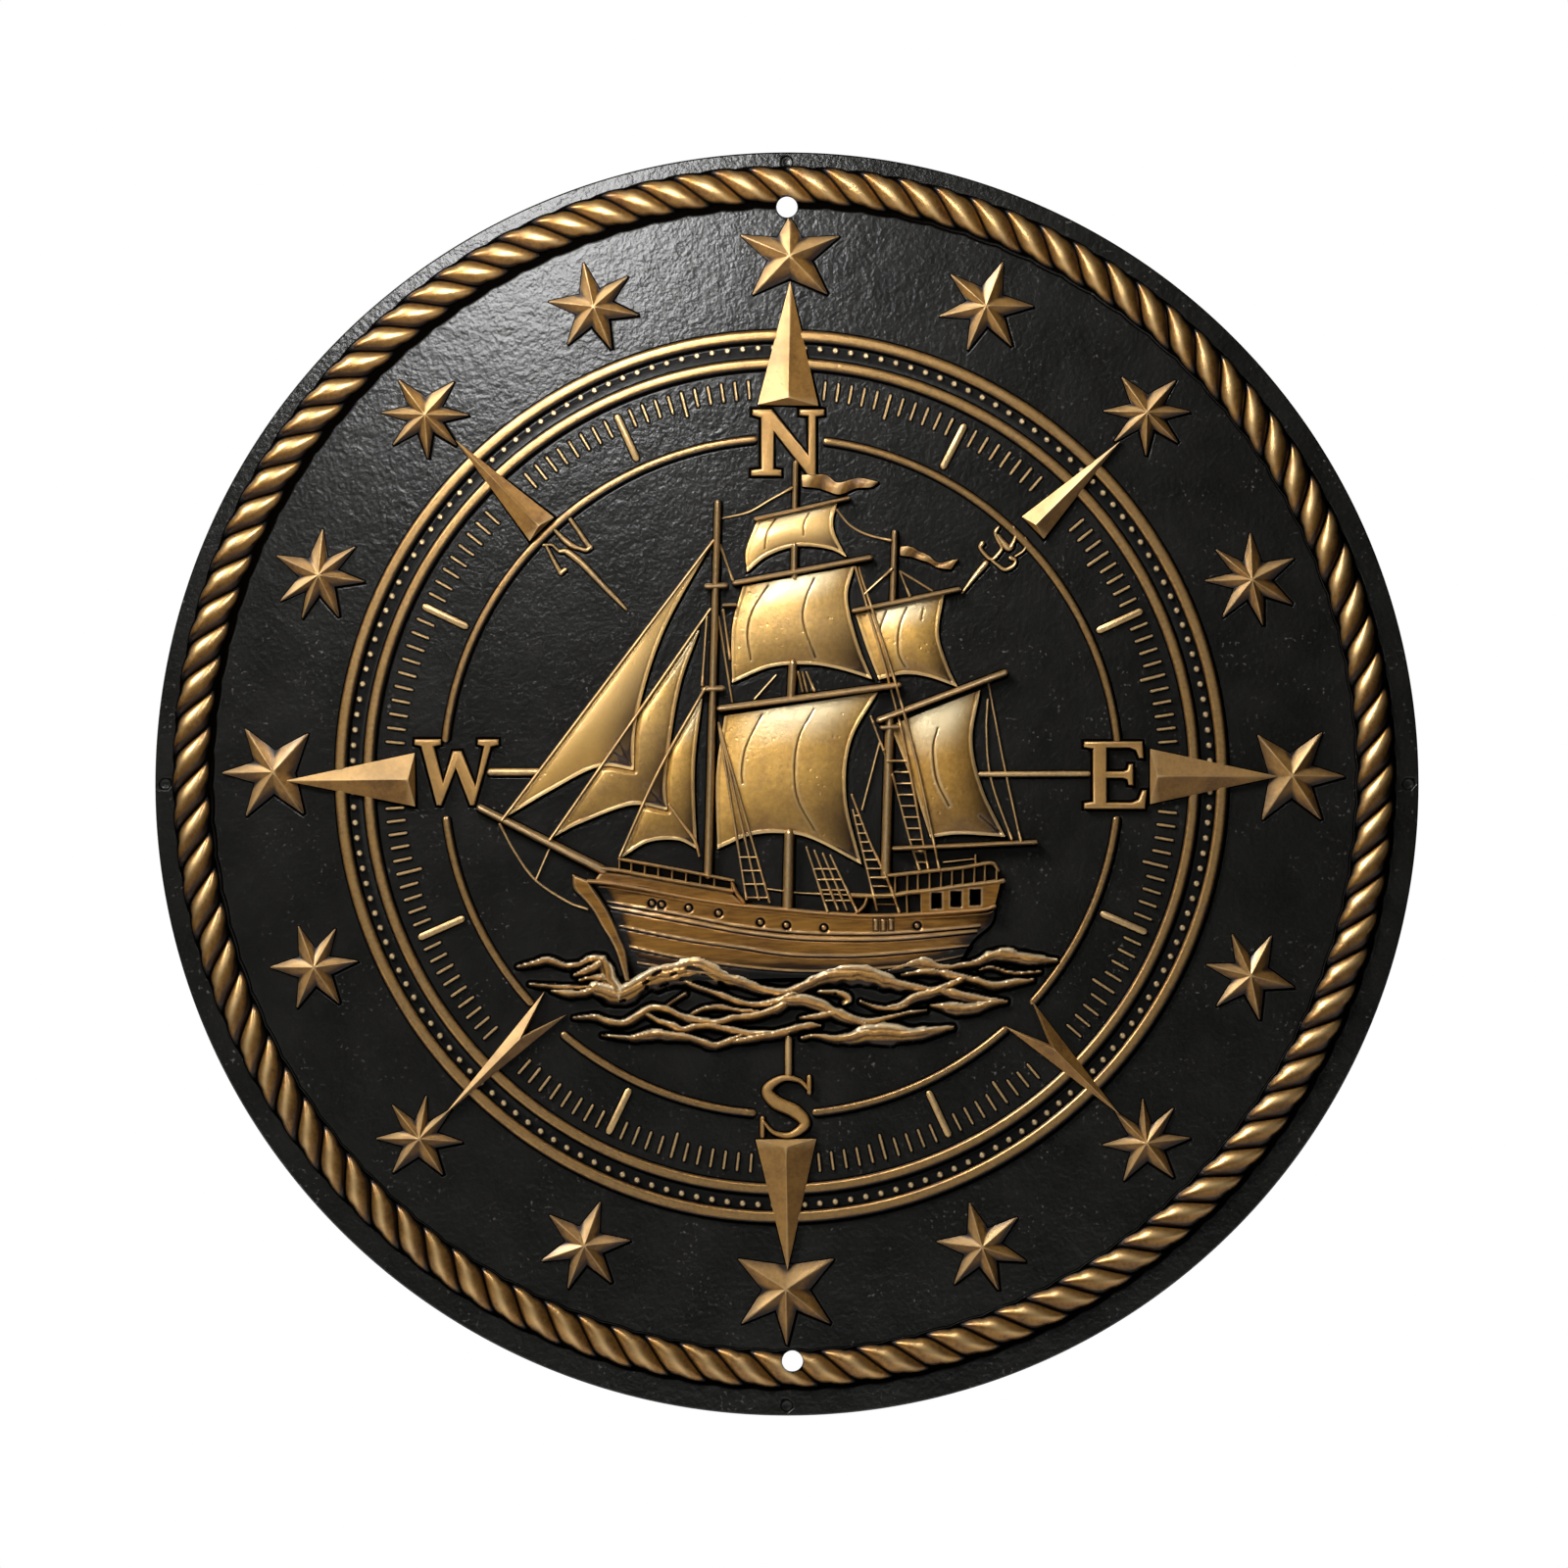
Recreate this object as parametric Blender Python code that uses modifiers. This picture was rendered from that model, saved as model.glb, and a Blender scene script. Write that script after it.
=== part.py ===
"""Round pressed-tin wall sign: a sailing ship inside a compass dial, sixteen stars and a rope border.

The sign lies in the XZ plane and faces -Y, with +Z up. Its origin is the centre of its flat back,
which lies against the wall. It is one sheet, so every raised form is united with the plate.
Distances across the sign are named as (x, z); heights are measured forward from the plate's face.
"""
import math

import bmesh
import bpy
import numpy as np
from mathutils import Matrix

MM = 0.001

# The sheet
SIGN_RADIUS = 150 * MM
PLATE_THICKNESS = 1.0 * MM
EDGE_BEVEL = 0.35 * MM
PLATE_STEPS = 96
ROOT_DEPTH = 0.5 * MM  # how deep every raised form is rooted in the plate

# The rope border
RIM_WIDTH = 5.4 * MM  # plain rim outside the rope
ROPE_WIDTH = 8.2 * MM
ROPE_RADIUS = SIGN_RADIUS - RIM_WIDTH - ROPE_WIDTH / 2
ROPE_CENTRE = (-0.9 * MM, 1.7 * MM)
ROPE_RISE = 2.7 * MM
ROPE_GROOVE = 0.55  # height of the grooves between strands, as a share of the rope's rise
ROPE_NARROW = 0.88  # width at the grooves, as a share of the rope's width
ROPE_STRANDS = 102
ROPE_LEAN = math.radians(2.2)  # how far a strand's outer end lies anticlockwise of its middle

# Two hanging holes that cut into the rope's inner side, and four nail dents in the rim
HOLE_RADIUS = 2.5 * MM
HOLE_BITE = 0.6 * MM  # how far the holes' centres lie inside the rope's inner edge
HOLE_FROM_CENTRE = ROPE_RADIUS - ROPE_WIDTH / 2 + HOLE_BITE
LOWER_HOLE_SHIFT = 1.3 * MM  # the lower hole is punched a little to the right
HOLE_STEPS = 16
DENT_RADIUS = 1.4 * MM
DENT_DEPTH = 0.4 * MM
DENT_FROM_CENTRE = SIGN_RADIUS - 2.4 * MM
DENT_STEPS = 8

# The dial: two flat rings, an open inner circle and the ticks
DIAL_CENTRE = (-1.3 * MM, 1.8 * MM)
RING_STEPS = 48
RING_RISE = 1.1 * MM
RING_BEVEL = 0.5 * MM
OUTER_RING_RADIUS = 104.6 * MM
OUTER_RING_WIDTH = 2.9 * MM
RING_SPACING = 6.6 * MM
INNER_RING_RADIUS = OUTER_RING_RADIUS - RING_SPACING
INNER_RING_WIDTH = 2.7 * MM
CIRCLE_RADIUS = 80.2 * MM
CIRCLE_WIDTH = 1.9 * MM
CIRCLE_RISE = 0.9 * MM
# The circle is left open at the letters and at the two lower pointers: (middle, half width) in degrees
CIRCLE_GAPS = ((1.5, 6.2), (90.5, 6.9), (135.2, 3.4), (179.5, 5.4), (224.0, 4.0), (269.5, 6.9))

TICK_CLEARANCE = 3.25 * MM  # between the inner ring and the ticks
TICK_OUTER_RADIUS = INNER_RING_RADIUS - INNER_RING_WIDTH / 2 - TICK_CLEARANCE
TICK_LENGTH = 3.2 * MM
MIDDLE_TICK_LENGTH = 5.6 * MM
LONG_TICK_LENGTH = 11.2 * MM
TICK_WIDTH = 0.8 * MM
LONG_TICK_WIDTH = 1.6 * MM
TICK_RISE = 0.6 * MM
TICKS_PER_QUARTER = 46
LONG_TICK_DEGREES = 25.5  # from the nearest main point of the compass
MIDDLE_TICK_DEGREES = 15.5
MAIN_POINT_GAP = 5.6  # degrees left free of ticks on each side of a main pointer
LESSER_POINT_GAP = 4.4

# Stars stand in a circle midway between the rope and the outer ring. Each has its direction about the
# dial's centre, its shift outwards, the length of its points, and their directions, clockwise from the top
STAR_CIRCLE = (ROPE_RADIUS - ROPE_WIDTH / 2 + OUTER_RING_RADIUS + OUTER_RING_WIDTH / 2) / 2
STAR_RISE = 2.2 * MM
STAR_WAIST = 0.43  # radius of the corners between the points, as a share of their length
MAIN_STARS = {
    "north": (0.9, 2.3 * MM, 12.6 * MM, (0, 68, 135, 224, 293)),
    "east": (89.9, -0.1 * MM, 12.5 * MM, (35, 91, 146, 214, 320)),
    "south": (179.5, 0.4 * MM, 13.3 * MM, (58, 128, 179, 232, 302)),
    "west": (270.5, -0.6 * MM, 12.2 * MM, (42, 144, 212, 269, 327)),
}
LESSER_STARS = {
    "north_north_east": (23.5, 0.5 * MM, 11.2 * MM, (21, 90, 147, 203, 258, 312)),
    "north_east": (45.1, 1.2 * MM, 10.2 * MM, (42, 89, 134, 181, 228, 272, 325)),
    "east_north_east": (67.3, -0.2 * MM, 11.1 * MM, (63, 121, 166, 218, 269, 310, 358)),
    "east_south_east": (113.0, -0.3 * MM, 10.7 * MM, (28, 105, 168, 228, 284, 336)),
    "south_east": (135.1, 1.5 * MM, 10.4 * MM, (38, 84, 142, 211, 267, 315, 355)),
    "south_south_east": (156.9, 0.2 * MM, 10.9 * MM, (50, 108, 159, 217, 277, 344)),
    "south_south_west": (202.8, -0.5 * MM, 10.9 * MM, (20, 84, 144, 201, 250, 311)),
    "south_west": (225.0, 0.3 * MM, 10.2 * MM, (9, 47, 95, 147, 218, 270, 321)),
    "west_south_west": (247.8, -1.4 * MM, 10.4 * MM, (29, 82, 145, 203, 270, 339)),
    "west_north_west": (293.5, -1.4 * MM, 10.9 * MM, (5, 52, 98, 154, 201, 236, 295)),
    "north_west": (315.4, -0.7 * MM, 10.3 * MM, (41, 90, 134, 176, 227, 273, 323)),
    "north_north_west": (338.2, -1.2 * MM, 10.7 * MM, (48, 100, 157, 215, 277, 347)),
}

# Compass pointers: direction in degrees clockwise from the top, tip and foot radius, width at the foot
POINTER_RISE = 2.7 * MM
POINTER_WALL = RING_RISE + 0.2 * MM  # the pointers cross over the rings
MAIN_POINTERS = {
    "north": (1.0, 117.5 * MM, 88.1 * MM, 14.4 * MM),
    "east": (90.0, 118.0 * MM, 87.5 * MM, 13.1 * MM),
    "south": (179.3, 117.1 * MM, 86.1 * MM, 14.4 * MM),
    "west": (269.5, 117.8 * MM, 87.0 * MM, 12.7 * MM),
}
LESSER_POINTERS = {
    "north_east": (45.3, 113.0 * MM, 83.9 * MM, 7.4 * MM),
    "north_west": (315.9, 111.2 * MM, 81.7 * MM, 8.0 * MM),
}
# The two lower pointers end in a fork: the notch is this far from the ends of the prongs
FORKED_POINTERS = {
    "south_east": (135.0, 113.5 * MM, 79.3 * MM, 8.9 * MM),
    "south_west": (224.9, 113.0 * MM, 75.9 * MM, 7.6 * MM),
}
FORK_DEPTH = 10.5 * MM
FORK_PEAK = 1.15  # place of a forked pointer's peak, as a share of the fork's depth

# Letters of the main points, and the short bars between them and the ship
LETTER_RISE = 1.7 * MM
STROKE_STEP = 0.03 * MM  # each stroke is this much lower than the one before, so that no two tops coincide
LETTER_HEIGHT = 15.6 * MM
STEM_WIDTH = 3.1 * MM
HAIRLINE_WIDTH = 1.5 * MM
SERIF_WIDTH = 1.7 * MM
LETTER_CENTRES = {
    "north": (0.4 * MM, 81.0 * MM),
    "east": (77.8 * MM, 2.1 * MM),
    "south": (-0.2 * MM, -76.6 * MM),
    "west": (-78.4 * MM, 2.9 * MM),
}
# Strokes of the letters from their centres, as shares of the letter height: start, end, and kind
LETTER_STROKES = {
    "north": (
        ((-0.32, -0.46), (-0.32, 0.46), "stem"),
        ((-0.36, 0.46), (0.36, -0.46), "stem"),
        ((0.36, -0.46), (0.36, 0.46), "hairline"),
        ((-0.56, 0.46), (-0.24, 0.46), "serif"),
        ((-0.56, -0.46), (-0.11, -0.46), "serif"),
        ((0.18, 0.46), (0.54, 0.46), "serif"),
    ),
    "east": (
        ((-0.23, -0.46), (-0.23, 0.46), "stem"),
        ((-0.46, 0.47), (0.44, 0.47), "serif"),
        ((-0.23, 0.0), (0.26, 0.0), "serif"),
        ((-0.46, -0.47), (0.47, -0.47), "serif"),
        ((0.40, 0.47), (0.42, 0.24), "hairline"),
        ((0.25, -0.12), (0.25, 0.12), "hairline"),
        ((0.44, -0.47), (0.46, -0.20), "hairline"),
    ),
    "west": (
        ((-0.46, 0.44), (-0.27, -0.47), "stem"),
        ((-0.27, -0.47), (0.0, 0.33), "hairline"),
        ((0.0, 0.33), (0.24, -0.47), "stem"),
        ((0.24, -0.47), (0.48, 0.44), "hairline"),
        ((-0.66, 0.46), (-0.24, 0.46), "serif"),
        ((0.30, 0.46), (0.66, 0.46), "serif"),
    ),
}
# The south letter is one curved stroke: its spine and its width along it, as shares of the letter height
S_SPINE = ((0.34, 0.26), (0.20, 0.40), (-0.06, 0.43), (-0.28, 0.26), (-0.16, 0.07),
           (0.14, -0.08), (0.29, -0.26), (0.08, -0.43), (-0.18, -0.40), (-0.35, -0.22))
S_WIDTHS = (0.05, 0.07, 0.10, 0.17, 0.21, 0.21, 0.17, 0.10, 0.07, 0.05)
S_SERIFS = (((0.35, 0.45), (0.35, 0.22)), ((-0.36, -0.44), (-0.36, -0.18)))

BAR_WIDTH = 2.0 * MM
BAR_RISE = 0.9 * MM
# Short bars that carry the main axes in towards the ship
AXIS_BARS = {
    "west_bar": ((-70.3 * MM, 2.8 * MM), (-59.0 * MM, 2.8 * MM)),
    "east_bar": ((46.0 * MM, 2.3 * MM), (71.4 * MM, 2.4 * MM)),
    "south_bar": ((0.4 * MM, -60.5 * MM), (0.4 * MM, -69.0 * MM)),
}
# Small ornaments at the feet of the two upper lesser pointers
NEEDLE = ((-56.5 * MM, 56.5 * MM), (-48.0 * MM, 52.0 * MM), (-37.6 * MM, 41.0 * MM))
NEEDLE_WIDTHS = (0.6 * MM, 1.4 * MM, 1.6 * MM, 1.2 * MM, 0.4 * MM)
KNOT_CENTRE = (51.8 * MM, 57.8 * MM)
KNOT_RADIUS = 2.6 * MM
KNOT_WIDTH = 1.5 * MM
KNOT_TAIL = ((48.5 * MM, 53.6 * MM), (41.6 * MM, 46.1 * MM))

# The ship's drawing: one unit is a millimetre when the ship is this wide from bowsprit to boom
SHIP_SPAN = 131.7 * MM
UNIT = SHIP_SPAN / 131.7
SAIL_EDGE_RISE = 1.0 * MM
SAIL_BULGE = 1.9 * MM
SAIL_STEPS = 5
JIB_STEPS = 4
HULL_RISE = 3.0 * MM
HULL_EDGE_SHARE = 0.35  # rise at bow and stern, as a share of the hull's rise
HULL_FULLEST = 0.2  # where the side is fullest, from the deck at 0 to the waterline at 1
HULL_ROUNDING = 1.5  # radians that the side turns through from deck to waterline
STEM_RISE = 2.4 * MM
WALE_RISE = 3.25 * MM
WAVE_RISE = 2.5 * MM
SPAR_RISE = 3.2 * MM
MAST_RISE = 2.3 * MM
CROSSTREE_RISE = 2.5 * MM
RIGGING_RISE = 1.1 * MM
RIGGING_WIDTH = 0.7 * UNIT

# Masts: foot, top and the width at each, in units; a sail hides the stretches between the spans listed
MASTS = {
    "fore_mast": ((-18.7, -21.5), (-16.4, 66.6), 2.1, 1.7),
    "main_mast": ((0.2, -29.6), (2.1, 76.1), 2.7, 1.6),
    "mizzen_mast": ((23.4, -21.5), (25.6, 59.6), 2.4, 1.6),
}
# Shares of a mast's height where it shows, counted from its foot
MAST_SPANS = {
    "fore_mast": ((0, 1),),
    "main_mast": ((0, 0.19), (0.46, 0.57), (0.74, 0.82), (0.9, 1)),
    "mizzen_mast": ((0, 0.47), (0.78, 1)),
}
CROSSTREES = {
    "upper_crosstree": ((-18.9, 46.9), (-14.7, 47.1)),
    "lower_crosstree": ((-19.6, 22.5), (-15.4, 22.7)),
}
CROSSTREE_WIDTH = 1.5

# Yards and booms: the two ends and the width, in units
YARDS = {
    "royal_yard": ((-7.4, 62.9), (14.6, 67.8), 1.1),
    "topsail_yard": ((-12.3, 47.7), (19.7, 53.7), 1.4),
    "main_yard": ((-15.8, 17.9), (26.4, 23.5), 1.6),
    "mizzen_top_yard": ((16.0, 41.1), (40.7, 46.2), 1.3),
    "mizzen_gaff": ((22.0, 15.2), (51.7, 26.4), 1.7),
    "mizzen_boom": ((25.5, -15.3), (59.0, -13.8), 1.3),
}
BOWSPRIT = ((-72.7, -5.7), (-43.3, -20.6), 1.7, 2.4)

# Sails: the four edges, each a smooth line through its points, in units
SAILS = {
    "royal": {
        "head": ((-7.1, 61.9), (11.9, 66.0)),
        "right": ((11.9, 66.0), (10.7, 62.0), (11.5, 59.0), (14.1, 53.9)),
        "foot": ((-9.5, 50.3), (-4.5, 54.2), (2.5, 56.4), (9.9, 55.8), (14.1, 53.9)),
        "left": ((-7.1, 61.9), (-9.7, 55.5), (-9.5, 50.3)),
    },
    "topsail": {
        "head": ((-10.5, 46.4), (16.0, 51.1)),
        "right": ((16.0, 51.1), (14.4, 44.0), (16.9, 33.3), (20.2, 24.9)),
        "foot": ((-13.0, 24.0), (-4.1, 27.7), (5.2, 28.4), (12.7, 27.2), (20.2, 24.9)),
        "left": ((-10.5, 46.4), (-13.0, 37.0), (-13.0, 24.0)),
    },
    "main_course": {
        "head": ((-14.8, 15.6), (21.6, 21.1)),
        "right": ((21.6, 21.1), (15.2, 10.1), (14.1, -3.4), (17.7, -19.1)),
        "foot": ((-16.5, -15.4), (-9.1, -12.3), (-1.9, -11.6), (5.9, -13.0), (17.7, -19.1)),
        "left": ((-14.8, 15.6), (-16.8, 2.0), (-16.5, -15.4)),
    },
    "mizzen_topsail": {
        "head": ((16.3, 39.8), (37.3, 44.4)),
        "right": ((37.3, 44.4), (36.0, 36.0), (38.0, 28.5), (40.5, 23.0)),
        "foot": ((21.8, 24.8), (28.1, 26.1), (34.0, 25.3), (40.5, 23.0)),
        "left": ((16.3, 39.8), (19.0, 32.0), (21.8, 24.8)),
    },
    "spanker": {
        "head": ((24.5, 13.6), (45.9, 21.7)),
        "right": ((45.9, 21.7), (44.0, 10.4), (46.4, -1.0), (51.8, -12.5)),
        "foot": ((34.0, -12.7), (41.0, -11.9), (51.8, -12.5)),
        "left": ((24.5, 13.6), (29.5, 1.0), (34.0, -12.7)),
    },
}
JIBS = {
    "flying_jib": {
        "head": ((-18.6, 56.4), (-18.0, 57.0)),
        "right": ((-18.0, 57.0), (-29.3, 36.1), (-35.4, 16.5), (-36.4, 3.3)),
        "foot": ((-66.8, -7.9), (-56.5, -1.8), (-45.0, 4.0), (-36.4, 3.3)),
        "left": ((-18.6, 56.4), (-66.8, -7.9)),
    },
    "jib": {
        "head": ((-21.4, 36.2), (-20.8, 36.5)),
        "right": ((-20.8, 36.5), (-25.6, 22.1), (-28.6, 2.4), (-28.4, -6.2)),
        "foot": ((-55.8, -12.8), (-49.0, -9.3), (-37.0, -5.0), (-28.4, -6.2)),
        "left": ((-21.4, 36.2), (-55.8, -12.8)),
    },
    "staysail": {
        "head": ((-20.6, 20.0), (-20.1, 20.3)),
        "right": ((-20.1, 20.3), (-21.9, 3.4), (-21.4, -15.4)),
        "foot": ((-39.4, -17.6), (-33.0, -13.8), (-26.0, -13.3), (-21.4, -15.4)),
        "left": ((-20.6, 20.0), (-31.0, 2.0), (-39.4, -17.6)),
    },
}

# The hull: deck edge, stem, waterline and stern, in units
HULL = {
    "head": ((-46.5, -22.6), (-28.4, -25.1), (-9.8, -28.6), (9.0, -30.7), (27.7, -31.0), (49.6, -28.3)),
    "right": ((49.6, -28.3), (48.5, -33.0), (44.2, -37.0), (40.7, -42.5)),
    "foot": ((-37.6, -46.0), (-20.0, -46.5), (0.0, -46.0), (20.0, -45.5), (40.7, -42.5)),
    "left": ((-46.5, -22.6), (-41.5, -31.0), (-37.6, -46.0)),
}
HULL_STEPS = (10, 3)
STEM = ((-51.0, -21.6), (-46.2, -28.0), (-41.8, -35.0), (-38.6, -42.5), (-37.4, -46.8))
STEM_WIDTHS = (4.2, 4.4, 3.4, 2.4, 1.4)
WALES = {
    "deck_wale": ((-46.7, -22.8), (-28.4, -25.3), (-9.8, -28.6), (9, -30.7), (27.7, -31), (49.6, -28.3)),
    "upper_wale": ((-42.8, -28.2), (-24.0, -31.5), (2.1, -35.4), (22.0, -35.8), (46.0, -33.9)),
    "lower_wale": ((-39.8, -34.0), (-24.0, -37.1), (-1.2, -40.5), (21.6, -40.7), (43.5, -38.4)),
}
WALE_WIDTH = 1.2
# Rails above the deck
RAILS = {
    "bow_top_rail": ((-39.4, -17.9), (-12.6, -22.5)),
    "bow_low_rail": ((-43.4, -20.0), (-12.8, -25.0)),
    "stern_top_rail": ((23.9, -21.7), (36.5, -20.4), (49.4, -18.8)),
    "stern_low_rail": ((15.0, -26.4), (23.0, -26.8), (36.0, -25.0), (51.2, -22.9)),
}
RAIL_WIDTH = 1.3
RAIL_RISE = 2.8 * MM

# Stays that show from a step away: their points, in units
STAYS = {
    "flying_stay": ((-17.4, 57.8), (-67.6, -8.6)),
    "jib_stay": ((-18.2, 41.5), (-56.2, -13.2)),
    "stay": ((-19.5, 22.6), (-39.6, -17.1)),
    "bobstay": ((-68.1, -9.6), (-59.6, -22.9), (-52.0, -28.0), (-47.4, -29.7)),
    "martingale": ((-56.4, -15.5), (-59.6, -22.9)),
    "sheet": ((47.9, 23.7), (51.5, 5.0), (55.5, -13.4)),
}

# Pennants: upper and lower edge, in units
PENNANTS = {
    "main_pennant": (
        ((3.5, 73.3), (9.3, 73.4), (12.5, 71.6), (17.5, 72.5), (21.6, 71.7)),
        ((3.7, 70.6), (7.0, 69.8), (11.5, 69.0), (16.0, 69.6), (21.4, 71.5)),
    ),
    "mizzen_pennant": (
        ((26.9, 56.3), (30.0, 56.2), (34.0, 53.9), (37.0, 52.7), (40.6, 53.2)),
        ((26.9, 54.3), (30.5, 53.7), (33.6, 52.3), (36.2, 51.4), (38.7, 51.2)),
    ),
}
PENNANT_RISE = 1.3 * MM

# Wave crests: the points of each crest line and its greatest width, in units
WAVES = {
    "far_left": {
        "crest": ((-64, -43.4), (-56.6, -41.8), (-50, -42.8), (-45, -41.3), (-42.6, -43.5)),
        "width": 3.5,
    },
    "bow_wave": {
        "crest": ((-46, -43), (-43, -48), (-38.5, -49.5), (-31, -46), (-21.5, -43.8), (-13, -46.8)),
        "width": 7.0,
    },
    "bow_wash": {
        "crest": ((-13, -46.3), (-6, -48), (0.5, -49.3), (8, -46.5), (15, -43.5), (23, -46)),
        "width": 4.8,
    },
    "wake": {
        "crest": ((23, -46), (30, -47.5), (36.5, -48.5), (44, -46.9), (52, -48), (58.4, -46.8)),
        "width": 3.5,
    },
    "quarter_wave": {
        "crest": ((24, -44.4), (31.5, -42), (38, -43.2), (44, -42.6), (49.5, -40.2), (63.5, -41.8)),
        "width": 3.8,
    },
    "near_left": {
        "crest": ((-50, -55.8), (-40, -56.8), (-31, -53.4), (-22, -55.6), (-14, -56.6)),
        "width": 3.2,
    },
    "near_middle": {
        "crest": ((-14, -56.6), (-6, -55), (1.5, -51.5), (8.5, -51.6), (16, -56), (24, -55.2)),
        "width": 4.8,
    },
    "near_right": {
        "crest": ((17.5, -51.8), (25, -53.2), (33, -50.2), (38, -49), (45.5, -51.2), (52, -51.5)),
        "width": 4.2,
    },
    "low_left": {
        "crest": ((-43, -59.6), (-33, -59.4), (-24, -60.4), (-16, -62), (-9.5, -60.6), (-2, -59.4)),
        "width": 3.8,
    },
    "low_middle": {
        "crest": ((-23, -58.2), (-12, -58.6), (-3, -59.4), (7.4, -57.4)),
        "width": 2.9,
    },
    "low_right": {
        "crest": ((3.8, -60.2), (12, -60), (20, -57.2), (28, -58), (39, -57.4)),
        "width": 5.1,
    },
}
WAVE_STEPS = 6
WAVE_END = 0.12  # where a crest's sine swell starts and stops, in radians from its ends

FACE = -PLATE_THICKNESS  # y of the plate's front face
ROOT = FACE + ROOT_DEPTH  # y of the buried underside of the raised forms

# Cross-sections of a raised bar: (share of the half width, share of the rise)
RIDGE = ((0, 1),)
FLAT_TOP = ((-0.65, 1), (0.65, 1))
ROUND_TOP = ((-0.75, 0.6), (0, 1), (0.75, 0.6))


def units(points):
    """Points of the ship's drawing, in metres."""
    return [(x * UNIT, z * UNIT) for x, z in points]


def from_top(degrees, radius, centre=(0, 0)):
    """The point at a radius, in a direction counted clockwise from the top."""
    angle = math.radians(degrees)
    return centre[0] + radius * math.sin(angle), centre[1] + radius * math.cos(angle)


def smooth_line(points, steps):
    """Points spaced evenly in parameter along a Catmull-Rom curve through the given points."""
    points = np.array(points, dtype=float)
    ends = np.vstack((2 * points[0] - points[1], points, 2 * points[-1] - points[-2]))
    place = np.linspace(0, len(points) - 1, steps + 1)
    first = np.minimum(place.astype(int), len(points) - 2)
    t = (place - first)[:, None]
    a, b, c, d = (ends[first + k] for k in range(4))
    return 0.5 * (2 * b + (c - a) * t + (2 * a - 5 * b + 4 * c - d) * t**2 + (3 * b - a - 3 * c + d) * t**3)


def add_object(name, mesh, collection):
    """Put a finished bmesh into a new object of a collection, with its faces turned outwards."""
    bmesh.ops.recalc_face_normals(mesh, faces=mesh.faces)
    if mesh.calc_volume(signed=True) < 0:
        bmesh.ops.reverse_faces(mesh, faces=mesh.faces)
    data = bpy.data.meshes.new(name)
    mesh.to_mesh(data)
    mesh.free()
    made = bpy.data.objects.new(name, data)
    collection.objects.link(made)
    return made


def add_loft(name, sections, collection, closed=False):
    """Skin equal loops of points into one closed body, capped at both ends or joined into a ring."""
    mesh = bmesh.new()
    loops = [[mesh.verts.new(point) for point in section] for section in sections]
    last = len(loops) if closed else len(loops) - 1
    for k in range(last):
        one = loops[k]
        two = loops[(k + 1) % len(loops)]
        for i in range(len(one)):
            j = (i + 1) % len(one)
            mesh.faces.new((one[i], one[j], two[j], two[i]))
    if not closed:
        mesh.faces.new(loops[0])
        mesh.faces.new(loops[-1])
    return add_object(name, mesh, collection)


def bar_sections(path, widths, rises, profile):
    """Cross-sections of a bar that follows a path over the plate, square to its run."""
    path = np.array(path, dtype=float)
    widths = np.broadcast_to(widths, len(path))
    rises = np.broadcast_to(rises, len(path))
    run = np.gradient(path, axis=0)
    side = np.stack((-run[:, 1], run[:, 0]), axis=1) / np.linalg.norm(run, axis=1)[:, None]
    sections = []
    for point, across, width, rise in zip(path, side, widths, rises):
        shape = [(-1, ROOT)] + [(share, FACE - high * rise) for share, high in profile] + [(1, ROOT)]
        sections.append([(*(point + across * share * width / 2), y) for share, y in shape])
    return [[(x, y, z) for x, z, y in section] for section in sections]


def add_bar(name, path, widths, rises, collection, profile=FLAT_TOP):
    """A raised bar along a path."""
    return add_loft(name, bar_sections(path, widths, rises, profile), collection)


def add_pyramid(name, outline, peak, rise, collection, wall=0):
    """A many-sided peak on a wall of its own; with no wall its facets meet the plate on the outline."""
    mesh = bmesh.new()
    bmesh.ops.create_cone(mesh, cap_ends=True, segments=len(outline), radius1=1, radius2=0, depth=1)
    base = [vert for vert in mesh.verts if vert.co.z < 0]
    base.sort(key=lambda vert: math.atan2(vert.co.y, vert.co.x))
    top = next(vert for vert in mesh.verts if vert.co.z > 0)
    spread = 1 if wall else 1 + ROOT_DEPTH / rise
    foot = FACE - wall if wall else ROOT
    for vert, (x, z) in zip(base, outline):
        vert.co = (peak[0] + (x - peak[0]) * spread, foot, peak[1] + (z - peak[1]) * spread)
    top.co = (peak[0], FACE - rise, peak[1])
    if wall:
        cap = next(face for face in mesh.faces if top not in face.verts)
        made = bmesh.ops.extrude_discrete_faces(mesh, faces=[cap])
        for vert in made["faces"][0].verts:
            vert.co.y = ROOT
    return add_object(name, mesh, collection)


def add_patch(name, edges, steps, height, collection):
    """A curved panel between four smooth edges (a Coons patch), as thick as it stands off the root."""
    across, down = steps
    head = smooth_line(edges["head"], across)
    foot = smooth_line(edges["foot"], across)
    left = smooth_line(edges["left"], down)
    right = smooth_line(edges["right"], down)
    mesh = bmesh.new()
    bmesh.ops.create_grid(mesh, x_segments=across, y_segments=down, size=1)
    for vert in mesh.verts:
        u = (vert.co.x + 1) / 2
        v = (1 - vert.co.y) / 2
        i = round(u * across)
        j = round(v * down)
        flat = (1 - v) * head[i] + v * foot[i] + (1 - u) * left[j] + u * right[j]
        flat -= (1 - v) * ((1 - u) * head[0] + u * head[-1]) + v * ((1 - u) * foot[0] + u * foot[-1])
        vert.co = (flat[0], FACE - height(u, v), flat[1])
    made = bmesh.ops.extrude_face_region(mesh, geom=mesh.faces[:])
    for vert in (item for item in made["geom"] if isinstance(item, bmesh.types.BMVert)):
        vert.co.y = ROOT
    return add_object(name, mesh, collection)


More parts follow.
